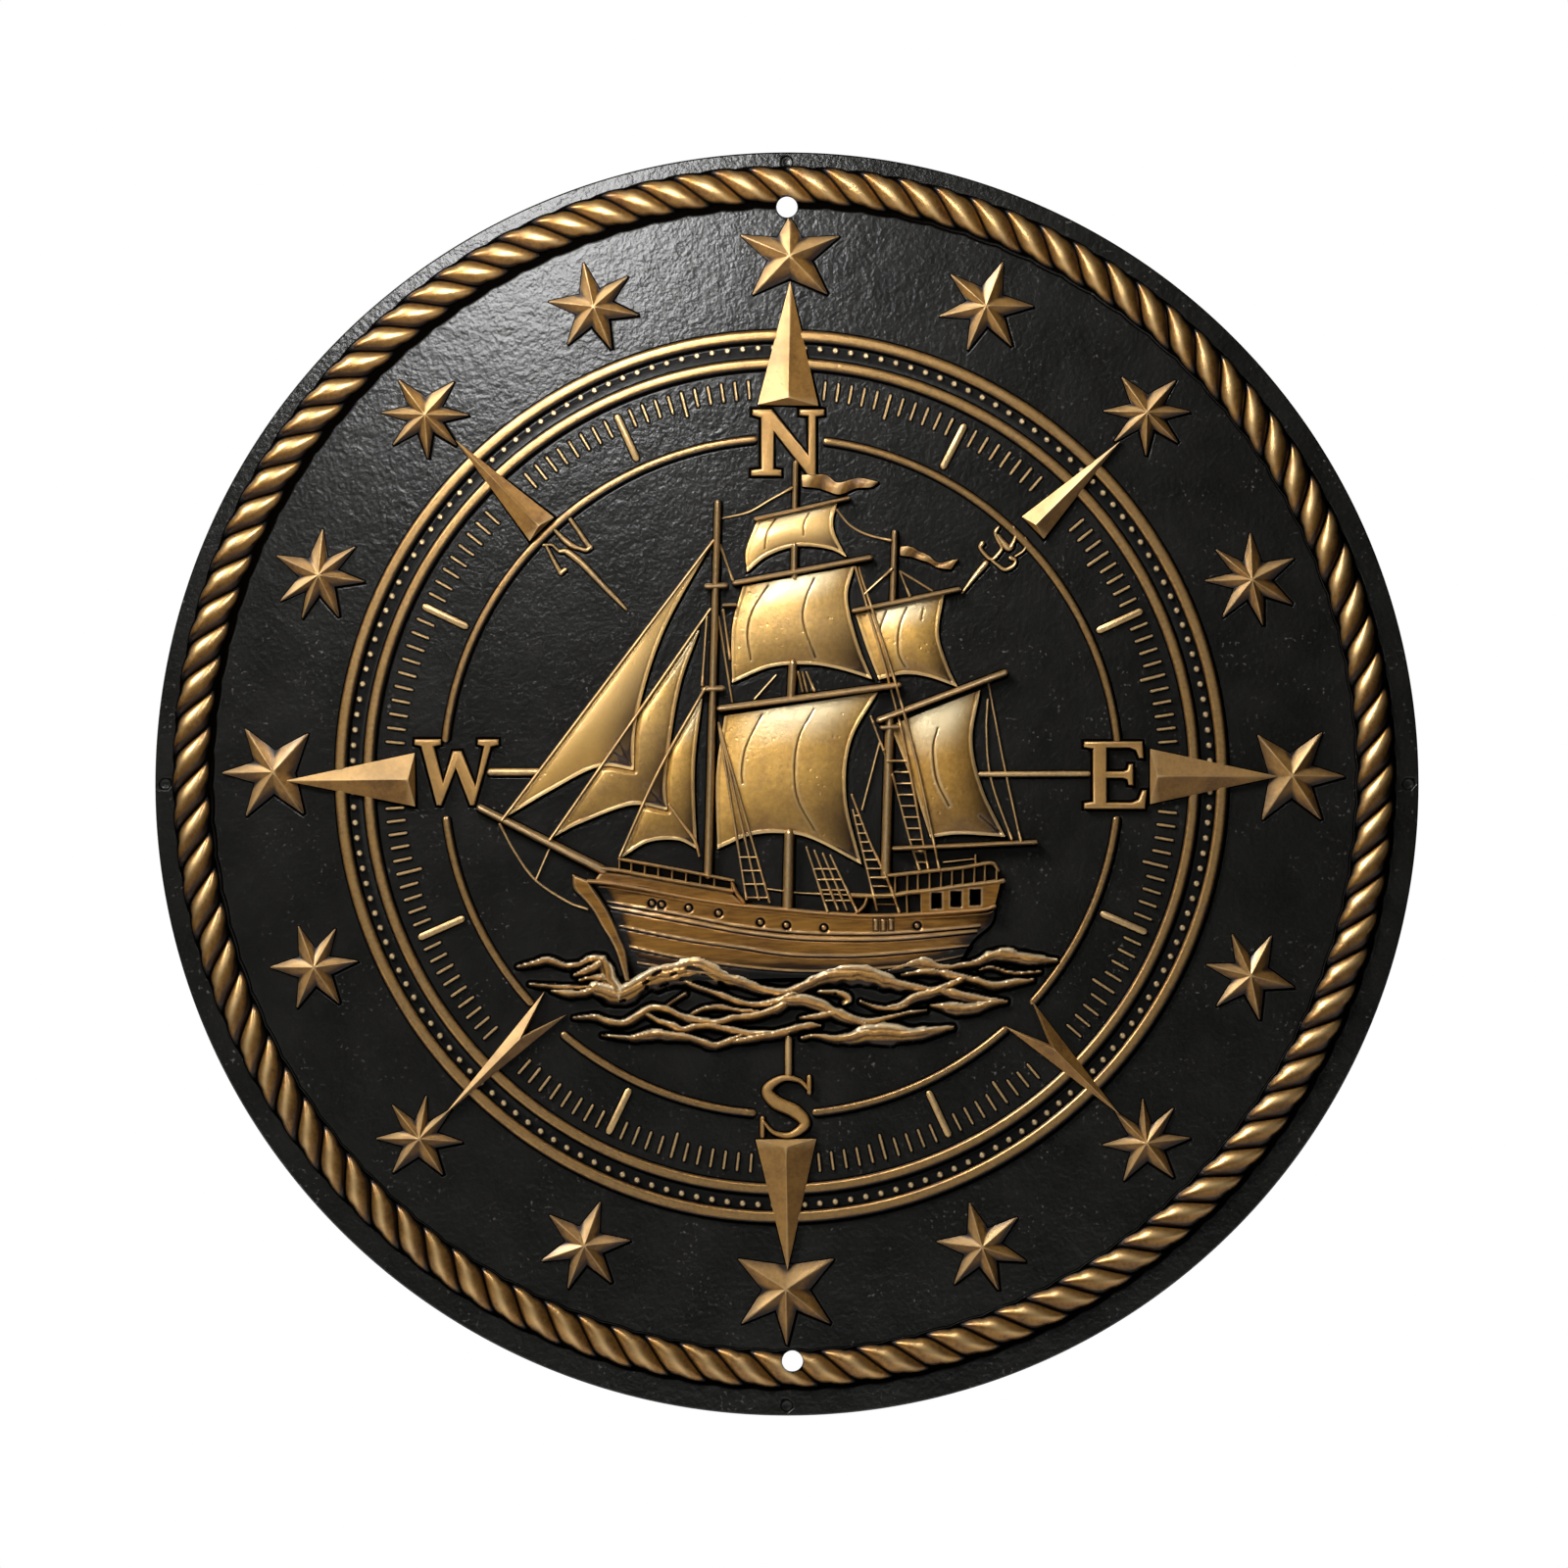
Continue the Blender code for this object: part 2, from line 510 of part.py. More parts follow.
def add_turned(name, profile, centre, steps, collection):
    """A closed profile of (radius, y) turned about the sign's axis with a Screw modifier."""
    mesh = bmesh.new()
    corners = [mesh.verts.new((radius, y, 0)) for radius, y in profile]
    for k, corner in enumerate(corners):
        mesh.edges.new((corner, corners[(k + 1) % len(corners)]))
    data = bpy.data.meshes.new(name)
    mesh.to_mesh(data)
    mesh.free()
    made = bpy.data.objects.new(name, data)
    made.location = (centre[0], 0, centre[1])
    collection.objects.link(made)
    turn = made.modifiers.new("turn", "SCREW")
    turn.axis = "Y"
    turn.steps = steps
    turn.render_steps = steps
    turn.use_merge_vertices = True
    turn.merge_threshold = 0.01 * MM
    turn.use_normal_calculate = True
    turn.use_normal_flip = True
    return made


def add_plate(collection):
    """The round sheet, with a small bevel round its front edge."""
    profile = (
        (SIGN_RADIUS, 0),
        (SIGN_RADIUS, FACE + EDGE_BEVEL),
        (SIGN_RADIUS - EDGE_BEVEL, FACE),
    )
    front = [from_top(360 * k / PLATE_STEPS, 1) for k in range(PLATE_STEPS)]
    sections = [[(x * radius, y, z * radius) for x, z in front] for radius, y in profile]
    return add_loft("tin_sign", sections, collection)


def add_rope(collection):
    """Laid rope: a round bar whose rise dips between strands, sheared so that the strands lean."""
    sections = []
    for k in range(2 * ROPE_STRANDS):
        middle = math.tau * k / (2 * ROPE_STRANDS)
        in_groove = k % 2 == 1
        rise = ROPE_RISE * (ROPE_GROOVE if in_groove else 1)
        half_width = ROPE_WIDTH / 2 * (ROPE_NARROW if in_groove else 1)
        section = []
        for share in (-1, 0, 1):
            angle = middle - share * ROPE_LEAN
            radius = ROPE_RADIUS + share * half_width
            y = ROOT if share else FACE - rise
            x = ROPE_CENTRE[0] + radius * math.sin(angle)
            z = ROPE_CENTRE[1] + radius * math.cos(angle)
            section.append((x, y, z))
        sections.append(section)
    add_loft("rope", sections, collection, closed=True)


def add_rings(collection):
    """The two flat rings of the dial."""
    rings = {
        "outer_ring": (OUTER_RING_RADIUS, OUTER_RING_WIDTH),
        "inner_ring": (INNER_RING_RADIUS, INNER_RING_WIDTH),
    }
    for name, (radius, width) in rings.items():
        outer = radius + width / 2
        inner = radius - width / 2
        top = FACE - RING_RISE
        profile = ((inner, ROOT), (inner + RING_BEVEL, top), (outer - RING_BEVEL, top), (outer, ROOT))
        add_turned(name, profile, DIAL_CENTRE, RING_STEPS, collection)


def add_inner_circle(collection):
    """The thin inner circle, as the arcs between its gaps."""
    for k, (middle, half) in enumerate(CIRCLE_GAPS):
        start = middle + half
        following = CIRCLE_GAPS[(k + 1) % len(CIRCLE_GAPS)]
        end = following[0] - following[1]
        if end < start:
            end += 360
        steps = max(3, round((end - start) / 360 * RING_STEPS))
        arc = [from_top(a, CIRCLE_RADIUS, DIAL_CENTRE) for a in np.linspace(start, end, steps + 1)]
        add_bar(f"circle_arc_{k}", arc, CIRCLE_WIDTH, CIRCLE_RISE, collection)


def add_ticks(collection):
    """Graduations inside the inner ring, left out beside the pointers."""
    for k in range(4 * TICKS_PER_QUARTER):
        angle = (k + 0.5) * 90 / TICKS_PER_QUARTER
        from_main = abs((angle + 45) % 90 - 45)
        if from_main < MAIN_POINT_GAP or 45 - from_main < LESSER_POINT_GAP:
            continue
        half_step = 45 / TICKS_PER_QUARTER
        length, width = TICK_LENGTH, TICK_WIDTH
        if abs(from_main - MIDDLE_TICK_DEGREES) < half_step:
            length = MIDDLE_TICK_LENGTH
        if abs(from_main - LONG_TICK_DEGREES) < half_step:
            length, width = LONG_TICK_LENGTH, LONG_TICK_WIDTH
        outer = TICK_OUTER_RADIUS
        run = np.array(from_top(angle, 1))
        side = np.array(from_top(angle + 90, width / 2))
        corners = [DIAL_CENTRE + run * reach + side * sign for reach, sign in
                   ((outer, 1), (outer - length, 1), (outer - length, -1), (outer, -1))]
        add_pyramid(f"tick_{k}", corners, DIAL_CENTRE + run * (outer - length / 2), TICK_RISE, collection)


def add_stars(collection):
    """Faceted stars: points at the given directions, waists halfway between them."""
    for name, (bearing, shift, reach, directions) in (MAIN_STARS | LESSER_STARS).items():
        centre = from_top(bearing, STAR_CIRCLE + shift, DIAL_CENTRE)
        outline = []
        for k, direction in enumerate(directions):
            following = directions[(k + 1) % len(directions)]
            if following < direction:
                following += 360
            outline.append(from_top(direction, reach, centre))
            outline.append(from_top((direction + following) / 2, reach * STAR_WAIST, centre))
        add_pyramid(f"{name}_star", outline, centre, STAR_RISE, collection)


def add_pointers(collection):
    """Compass pointers: long three-sided peaks, highest just inside the foot; two end in a fork."""
    for name, (direction, tip, foot, width) in (MAIN_POINTERS | LESSER_POINTERS | FORKED_POINTERS).items():
        ahead = np.array(from_top(direction, 1))
        right = np.array(from_top(direction + 90, 1))
        outline = [ahead * tip, ahead * foot + right * width / 2]
        peak = ahead * (foot + width / 8)
        if name in FORKED_POINTERS:
            outline.append(ahead * (foot + FORK_DEPTH))
            peak = ahead * (foot + FORK_DEPTH * FORK_PEAK)
        outline.append(ahead * foot - right * width / 2)
        outline = [DIAL_CENTRE + corner for corner in outline]
        add_pyramid(f"{name}_pointer", outline, DIAL_CENTRE + peak, POINTER_RISE, collection, POINTER_WALL)


def add_letters(collection):
    """The four letters of the main points, as strokes with serifs."""
    widths = {"stem": STEM_WIDTH, "hairline": HAIRLINE_WIDTH, "serif": SERIF_WIDTH}
    for name, strokes in LETTER_STROKES.items():
        centre = np.array(LETTER_CENTRES[name])
        for k, (start, end, kind) in enumerate(strokes):
            path = [centre + np.array(point) * LETTER_HEIGHT for point in (start, end)]
            add_bar(f"{name}_stroke_{k}", path, widths[kind], LETTER_RISE - k * STROKE_STEP, collection)
    centre = np.array(LETTER_CENTRES["south"])
    steps = 2 * (len(S_SPINE) - 1)
    spine = centre + smooth_line(S_SPINE, steps) * LETTER_HEIGHT
    places = np.linspace(0, len(S_WIDTHS) - 1, steps + 1)
    widths = np.interp(places, range(len(S_WIDTHS)), S_WIDTHS) * LETTER_HEIGHT
    add_bar("south_stroke", spine, widths, LETTER_RISE, collection)
    for k, serif in enumerate(S_SERIFS):
        path = [centre + np.array(point) * LETTER_HEIGHT for point in serif]
        add_bar(f"south_serif_{k}", path, HAIRLINE_WIDTH, LETTER_RISE - (k + 1) * STROKE_STEP, collection)


def add_ornaments(collection):
    """Axis bars, the needle and the knot beside the ship."""
    for name, path in AXIS_BARS.items():
        add_bar(name, path, BAR_WIDTH, BAR_RISE, collection, ROUND_TOP)
    add_bar("needle", smooth_line(NEEDLE, len(NEEDLE_WIDTHS) - 1), NEEDLE_WIDTHS, BAR_RISE, collection)
    ring = [from_top(angle, KNOT_RADIUS, KNOT_CENTRE) for angle in range(0, 360, 45)]
    sections = bar_sections([*ring, ring[0], ring[1]], KNOT_WIDTH, BAR_RISE, FLAT_TOP)[1:-1]
    add_loft("knot", sections, collection, closed=True)
    add_bar("knot_tail", KNOT_TAIL, KNOT_WIDTH, BAR_RISE - STROKE_STEP, collection)


def sail_height(u, v):
    """A filled sail: low at its edges, fullest below the middle."""
    return SAIL_EDGE_RISE + SAIL_BULGE * math.sin(math.pi * u) ** 0.7 * math.sin(math.pi * v**1.3) ** 0.8


def hull_height(u, v):
    """The hull's side: full below the deck, falling back to the water and to both ends."""
    ends = 1 - (2 * u - 1) ** 6
    side = math.cos(HULL_ROUNDING * (v - HULL_FULLEST))
    return HULL_RISE * (HULL_EDGE_SHARE + (1 - HULL_EDGE_SHARE) * ends * side)


def add_ship(collection):
    """Hull, spars, sails, rails and the main rigging."""
    hull = {side: units(line) for side, line in HULL.items()}
    add_patch("hull", hull, HULL_STEPS, hull_height, collection)
    stem = smooth_line(units(STEM), len(STEM) - 1)
    add_bar("stem", stem, np.array(STEM_WIDTHS) * UNIT, STEM_RISE, collection)
    for name, line in WALES.items():
        add_bar(name, smooth_line(units(line), 6), WALE_WIDTH * UNIT, WALE_RISE, collection)
    for name, (foot, top, low_width, top_width) in MASTS.items():
        foot, top = (np.array(point) for point in units((foot, top)))
        for k, span in enumerate(MAST_SPANS[name]):
            path = [foot + (top - foot) * share for share in span]
            widths = [(low_width + (top_width - low_width) * share) * UNIT for share in span]
            add_bar(f"{name}_{k}", path, widths, MAST_RISE, collection)
    for name, line in CROSSTREES.items():
        add_bar(name, units(line), CROSSTREE_WIDTH * UNIT, CROSSTREE_RISE, collection)
    for name, (start, end, width) in YARDS.items():
        add_bar(name, units((start, end)), width * UNIT, SPAR_RISE, collection)
    tip, heel, tip_width, heel_width = BOWSPRIT
    add_bar("bowsprit", units((tip, heel)), (tip_width * UNIT, heel_width * UNIT), MAST_RISE, collection)
    for name, edges in (SAILS | JIBS).items():
        steps = (JIB_STEPS, JIB_STEPS) if name in JIBS else (SAIL_STEPS, SAIL_STEPS)
        add_patch(name, {side: units(line) for side, line in edges.items()}, steps, sail_height, collection)
    for name, (upper, lower) in PENNANTS.items():
        edges = {"head": units(upper), "foot": units(lower)}
        edges["left"] = [edges["head"][0], edges["foot"][0]]
        edges["right"] = [edges["head"][-1], edges["foot"][-1]]
        add_patch(name, edges, (SAIL_STEPS, 1), lambda u, v: PENNANT_RISE, collection)


def add_rails(collection):
    """Rails at bow and stern."""
    for name, rail in RAILS.items():
        add_bar(name, smooth_line(units(rail), 5), RAIL_WIDTH * UNIT, RAIL_RISE, collection)


def add_rigging(collection):
    """Stays, as thin ridges."""
    for name, line in STAYS.items():
        steps = 1 if len(line) == 2 else 6
        add_bar(name, smooth_line(units(line), steps), RIGGING_WIDTH, RIGGING_RISE, collection, RIDGE)


def add_waves(collection):
    """Wave crests: ridges that thin out at both ends."""
    for name, wave in WAVES.items():
        path = smooth_line(units(wave["crest"]), WAVE_STEPS)
        swell = np.sin(np.linspace(WAVE_END, math.pi - WAVE_END, WAVE_STEPS + 1)) ** 0.6
        widths = wave["width"] * UNIT * swell
        add_bar(name, path, widths, WAVE_RISE * (1 + swell) / 2, collection, RIDGE)


def add_cutters(collection):
    """Cylinders for the two hanging holes and the four nail dents."""
    through = 4 * PLATE_THICKNESS + 2 * ROPE_RISE
    spots = [
        ("hole", (0, HOLE_FROM_CENTRE), HOLE_RADIUS, through, 0),
        ("hole", (LOWER_HOLE_SHIFT, -HOLE_FROM_CENTRE), HOLE_RADIUS, through, 0),
    ]
    for k in range(4):
        place = from_top(90 * k, DENT_FROM_CENTRE)
        spots.append(("dent", place, DENT_RADIUS, 2 * DENT_DEPTH, FACE))
    for k, (kind, (x, z), radius, depth, y) in enumerate(spots):
        mesh = bmesh.new()
        steps = HOLE_STEPS if kind == "hole" else DENT_STEPS
        bmesh.ops.create_cone(
            mesh, cap_ends=True, segments=steps, radius1=radius, radius2=radius, depth=depth
        )
        bmesh.ops.rotate(mesh, verts=mesh.verts, matrix=Matrix.Rotation(math.pi / 2, 3, "X"))
        bmesh.ops.translate(mesh, verts=mesh.verts, vec=(x, y, z))
        add_object(f"{kind}_{k}", mesh, collection)


def painted_metal():
    """Black enamel with worn bronze paint on the relief, given here as one dark bronze."""
    material = bpy.data.materials.new("aged_bronze_on_black")
    material.use_nodes = True
    shader = material.node_tree.nodes["Principled BSDF"]
    shader.inputs["Base Color"].default_value = (0.10, 0.075, 0.04, 1)
    shader.inputs["Metallic"].default_value = 0.8
    shader.inputs["Roughness"].default_value = 0.4
    return material


def new_collection(name):
    made = bpy.data.collections.new(name)
    bpy.context.scene.collection.children.link(made)
    return made


def build():
    for thing in list(bpy.data.objects):
        bpy.data.objects.remove(thing)
    sign_collection = new_collection("tin_sign")
    forms = new_collection("relief_forms")
    cutters = new_collection("cutters")
    sign = add_plate(sign_collection)
    for add in (add_rope, add_rings, add_inner_circle, add_ticks, add_stars, add_pointers, add_letters,
                add_ornaments, add_ship, add_rails, add_rigging, add_waves):
        add(forms)
    add_cutters(cutters)
    for guide in [*forms.objects, *cutters.objects]:
        guide.hide_render = True
        guide.display_type = "WIRE"
    steps = (("raise_relief", "UNION", forms), ("cut_holes", "DIFFERENCE", cutters))
    for name, operation, operands in steps:
        boolean = sign.modifiers.new(name, "BOOLEAN")
        boolean.operation = operation
        boolean.operand_type = "COLLECTION"
        boolean.collection = operands
        boolean.solver = "EXACT"
    sign.data.materials.append(painted_metal())


build()
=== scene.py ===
import math

import bpy
import numpy as np
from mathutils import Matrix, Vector


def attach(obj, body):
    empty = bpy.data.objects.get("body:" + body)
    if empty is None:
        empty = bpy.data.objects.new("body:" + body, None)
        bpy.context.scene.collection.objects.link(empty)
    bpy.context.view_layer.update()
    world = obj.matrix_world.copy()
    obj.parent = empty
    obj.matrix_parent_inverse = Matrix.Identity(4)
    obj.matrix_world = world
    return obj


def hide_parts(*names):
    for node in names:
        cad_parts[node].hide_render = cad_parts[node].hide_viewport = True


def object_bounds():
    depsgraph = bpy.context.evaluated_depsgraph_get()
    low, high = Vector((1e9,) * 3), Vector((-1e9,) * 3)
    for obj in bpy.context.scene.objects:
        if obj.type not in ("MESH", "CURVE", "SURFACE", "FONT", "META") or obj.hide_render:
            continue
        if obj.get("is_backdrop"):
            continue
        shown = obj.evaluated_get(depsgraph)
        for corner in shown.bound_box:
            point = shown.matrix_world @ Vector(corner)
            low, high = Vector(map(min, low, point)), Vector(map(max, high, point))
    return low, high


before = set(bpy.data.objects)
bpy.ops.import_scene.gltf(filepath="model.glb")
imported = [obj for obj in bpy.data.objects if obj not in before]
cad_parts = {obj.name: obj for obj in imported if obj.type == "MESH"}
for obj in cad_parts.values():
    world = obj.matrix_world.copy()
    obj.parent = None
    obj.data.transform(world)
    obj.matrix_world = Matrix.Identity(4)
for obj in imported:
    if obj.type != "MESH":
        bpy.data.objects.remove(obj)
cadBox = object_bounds()

mm = 0.001
sheet = {
    "radius": 150.0,
    "thickness": 1.0,
    "edgeBevel": 0.35,
    "dialCentre": (-1.3, 1.8),
    "ropeCentre": (-0.9, 1.7),
    "holes": ((0.0, 137.0), (1.3, -137.0)),
    "holeRadius": 2.5,
    "root": -0.5,  # height of every form's underside, buried where front and back meet
    "ground": 0.03,  # height of the dark ground, a painted shadow, left beside a form
    "rings": 110,  # rings of points from the middle of the front to its bevel
    "around": 540,
    "pressCells": 220,  # squares across the back
    "pressShare": 0.17,  # depth of the hollows on the back, as a share of the relief
}
# painted shadow: wider dark ground and darker flanks on the lower right of each form, away from the light at
# the upper left
paintedShadow = {
    "towards": (0.62, -0.78),  # lower right
    "sweptGround": (0.35, 0.75),  # shares of the dark ground, a painted shadow: kept all round, and added towards the lower right
    "slabGround": (0.3, 0.8),
    "shade": 0.5,
}
sharpAngle = math.radians(38)  # steeper folds between faces are shaded as edges
noiseCells = 64  # cells a side before the noise repeats


# Points on smooth lines and circles

def smoothLine(points, steps):
    # Catmull-Rom curve through the points, with the same number of steps between each two of them
    points = np.array(points, dtype=float)
    ends = np.vstack((2 * points[0] - points[1], points, 2 * points[-1] - points[-2]))
    place = np.linspace(0, len(points) - 1, steps * (len(points) - 1) + 1)
    first = np.minimum(place.astype(int), len(points) - 2)
    t = (place - first)[:, None]
    a, b, c, d = (ends[first + k] for k in range(4))
    return 0.5 * (2 * b + (c - a) * t + (2 * a - 5 * b + 4 * c - d) * t**2 + (3 * b - a - 3 * c + d) * t**3)


def fromTop(degrees, radius, centre=(0, 0)):
    # centre plus radius times (sine, cosine): angles run clockwise from the top
    angle = np.radians(degrees)
    return np.stack((centre[0] + radius * np.sin(angle), centre[1] + radius * np.cos(angle)), axis=-1)


def lengthAlong(points):
    # running sum of the distances between neighbouring points, from zero
    steps = np.linalg.norm(np.diff(np.asarray(points, dtype=float), axis=0), axis=1)
    return np.concatenate(([0], np.cumsum(steps)))


def evenly(points, steps):
    # the same line cut into an exact number of equal steps
    points = np.asarray(points, dtype=float)
    length = lengthAlong(points)
    places = np.linspace(0, length[-1], steps + 1)
    return np.stack([np.interp(places, length, column) for column in points.T], axis=1)


def softNoise(x, z, cell, seed):
    # random values on a square lattice of cells, blended between the four nearest with a smooth step
    lattice = np.random.default_rng(seed).random((noiseCells, noiseCells))
    gx, gz = np.asarray(x) / cell, np.asarray(z) / cell
    ix, iz = np.floor(gx).astype(int), np.floor(gz).astype(int)
    fx, fz = gx - ix, gz - iz
    fx, fz = fx * fx * (3 - 2 * fx), fz * fz * (3 - 2 * fz)
    corner = lambda i, j: lattice[(ix + i) % noiseCells, (iz + j) % noiseCells]
    low = corner(0, 0) * (1 - fx) + corner(1, 0) * fx
    high = corner(0, 1) * (1 - fx) + corner(1, 1) * fx
    return low * (1 - fz) + high * fz


def smoothStep(value, low, high):
    # 0 below low, 1 above high, and 3t^2 - 2t^3 between
    t = np.clip((value - low) / (high - low), 0, 1)
    return t * t * (3 - 2 * t)


# Bodies: dictionaries of points (x, z, height), arrays of faces, and each point's painted shade and dirt
# (dark) and its rub and painted highlight

def facingShadow(direction):
    # share of a flat direction that points to the sign's lower right, away from the light, where shadow is
    # painted: 0 to 1
    x, z = paintedShadow["towards"]
    return np.maximum(0, direction[..., 0] * x + direction[..., 1] * z)


def makeBody(points, faces, shadeAndDirt=0.0, rubAndHighlight=0.0):
    # six times the volume is the sum of a . (b x c) over triangles; a negative one means inside out
    points = np.asarray(points, dtype=float)
    volume = 0.0
    for loops in faces:
        for k in range(1, loops.shape[1] - 1):
            a, b, c = (points[loops[:, i]] for i in (0, k, k + 1))
            volume += np.einsum("ij,ij->", a, np.cross(b, c))
    if volume < 0:
        faces = [loops[:, ::-1] for loops in faces]
    fill = lambda value: np.broadcast_to(np.asarray(value, dtype=float), (len(points),)).copy()
    return {"points": points, "faces": faces, "shadeAndDirt": fill(shadeAndDirt), "rubAndHighlight": fill(rubAndHighlight)}


def gridFaces(rows, columns, closeRows=False, closeColumns=False):
    # quads between neighbours of a grid whose rows follow each other in one array
    r = np.arange(rows if closeRows else rows - 1)[:, None]
    c = np.arange(columns if closeColumns else columns - 1)[None, :]
    across, down = (c + 1) % columns, (r + 1) % rows
    corners = (r * columns + c, r * columns + across, down * columns + across, down * columns + c)
    return np.stack(np.broadcast_arrays(*corners), axis=-1).reshape(-1, 4)


capTurns = (84, 66, 44, 22)  # degrees round the quarter circle of a form's end


def stackFaces(rows, columns):
    # a stack of rings: quads between them, with the first and last ring closed by one face each
    ring = np.arange(columns)[None]
    return [gridFaces(rows, columns, closeColumns=True), ring[:, ::-1], (rows - 1) * columns + ring]


def rimOf(rows, columns):
    # numbers of a grid's border points in one loop: first row, last column, last row and first column
    index = np.arange(rows * columns).reshape(rows, columns)
    return np.concatenate((index[0, :-1], index[:-1, -1], index[-1, :0:-1], index[:0:-1, 0]))


def sweep(path, halfWidth, rise, profile, closed=False, ground=0.0):
    # carries a profile along a path: each profile row is (share of half width, extra width, share of rise,
    # extra height, painted shade, painted highlight); an open path's ends shrink width and rise along a
    # quarter circle
    path = np.asarray(path, dtype=float)
    profile = np.asarray(profile, dtype=float)
    count = len(path)
    sizes = (np.asarray(value, dtype=float) for value in (halfWidth, rise, ground))
    half, high, low = (np.broadcast_to(value, (count,)) for value in sizes)
    run = np.roll(path, -1, axis=0) - np.roll(path, 1, axis=0) if closed else np.gradient(path, axis=0)
    run = run / np.linalg.norm(run, axis=1)[:, None]
    shrink = np.ones(count)
    if not closed:
        turn = np.radians(capTurns)
        head = path[0] - run[0] * half[0] * np.sin(turn)[:, None]
        tail = path[-1] + run[-1] * half[-1] * np.sin(turn[::-1])[:, None]
        path = np.vstack((head, path, tail))
        run = np.pad(run, ((len(turn), len(turn)), (0, 0)), mode="edge")
        shrink = np.concatenate((np.cos(turn), shrink, np.cos(turn[::-1])))
        half, high, low = (np.pad(value, len(turn), mode="edge") for value in (half, high, low))
        high = high * np.sqrt(shrink)
        half = half * shrink
    side = np.stack((-run[:, 1], run[:, 0]), axis=1)
    # painted shadow: the side facing the lower right gets a wider dark ground and a darker flank, and loses
    # its painted highlight
    shadowSide = np.where(profile[:, 0] > 0, facingShadow(side)[:, None], facingShadow(-side)[:, None])
    least, more = paintedShadow["sweptGround"]
    across = profile[:, 0] * half[:, None] + profile[:, 1] * shrink[:, None] * (least + more * shadowSide)
    height = profile[:, 2] * high[:, None] + profile[:, 3] * shrink[:, None] + low[:, None]
    across = np.concatenate((across[:, :1], across, across[:, -1:]), axis=1)
    foot = np.full((len(path), 1), sheet["root"])
    height = np.concatenate((foot, np.maximum(height, sheet["root"] + 0.01), foot), axis=1)
    flat = path[:, None, :] + side[:, None, :] * across[:, :, None]
    points = np.concatenate((flat, height[:, :, None]), axis=2)
    rows, columns = across.shape
    faces = stackFaces(rows, columns)
    if closed:
        faces = [gridFaces(rows, columns, closeRows=True, closeColumns=True)]
    shaded = shadowSide * smoothStep(np.abs(profile[:, 0]), 0.1, 1.0)
    shadeAndDirt = np.minimum(1, profile[:, 4] + paintedShadow["shade"] * shaded * (profile[:, 2] > 0))
    rubAndHighlight = profile[:, 5] * (1 - shaded)
    shadeAndDirt, rubAndHighlight = (np.pad(tone, ((0, 0), (1, 1)), mode="edge").ravel() for tone in (shadeAndDirt, rubAndHighlight))
    return makeBody(points.reshape(-1, 3), faces, shadeAndDirt, rubAndHighlight)


def slab(outline, steps, shadowSide=False):
    # stacks copies of an outline, each pushed out by its own distance along the corner bisectors, and caps
    # the last: steps are (distance outwards, height, painted shade, painted highlight); with painted shadow
    # on, the dark ground reaches further lower right
    outline = np.asarray(outline, dtype=float)
    following = np.roll(outline, -1, axis=0)
    if np.sum(outline[:, 0] * following[:, 1] - following[:, 0] * outline[:, 1]) < 0:
        outline = outline[::-1]
    ahead = np.roll(outline, -1, axis=0) - outline
    ahead /= np.linalg.norm(ahead, axis=1)[:, None]
    normal = np.stack((ahead[:, 1], -ahead[:, 0]), axis=1)
    before = np.roll(normal, 1, axis=0)
    bisector = normal + before
    bisector /= np.maximum(np.linalg.norm(bisector, axis=1), 0.2)[:, None]
    reach = 1 / np.maximum(np.sum(bisector * normal, axis=1), 0.55)
    if shadowSide:
        least, more = paintedShadow["slabGround"]
        reach = reach * (least + more * facingShadow(bisector))
    count = len(outline)
    steps = np.asarray(((steps[0][0], sheet["root"], steps[0][2], 0.0), *steps), dtype=float)
    flat = outline + bisector * reach[:, None] * steps[:, 0][:, None, None]
    height = np.broadcast_to(steps[:, 1][:, None, None], (len(steps), count, 1))
    points = np.concatenate((flat, height), axis=2).reshape(-1, 3)
    faces = stackFaces(len(steps), count)
    return makeBody(points, faces, np.repeat(steps[:, 2], count), np.repeat(steps[:, 3], count))


def edgeLine(edges, side):
    # one edge's points: left and right list only those between the corners, which head and foot hold
    if side in ("head", "foot"):
        return edges[side]
    corner = {"left": 0, "right": -1}[side]
    return edges["head"][corner], *edges.get(side, ()), edges["foot"][corner]


def patchGrid(edges, across, down):
    # Coons patch: the sum of the two ruled surfaces between opposite edges, less the bilinear one
    steps = {"head": across, "foot": across, "left": down, "right": down}
    lines = (evenly(smoothLine(edgeLine(edges, side), 12), count) for side, count in steps.items())
    head, foot, left, right = lines
    u = np.linspace(0, 1, across + 1)[None, :, None]
    v = np.linspace(0, 1, down + 1)[:, None, None]
    ruled = (1 - v) * head[None] + v * foot[None] + (1 - u) * left[:, None] + u * right[:, None]
    corners = (1 - v) * ((1 - u) * head[0] + u * head[-1]) + v * ((1 - u) * foot[0] + u * foot[-1])
    return ruled - corners, u[..., 0], v[..., 0]


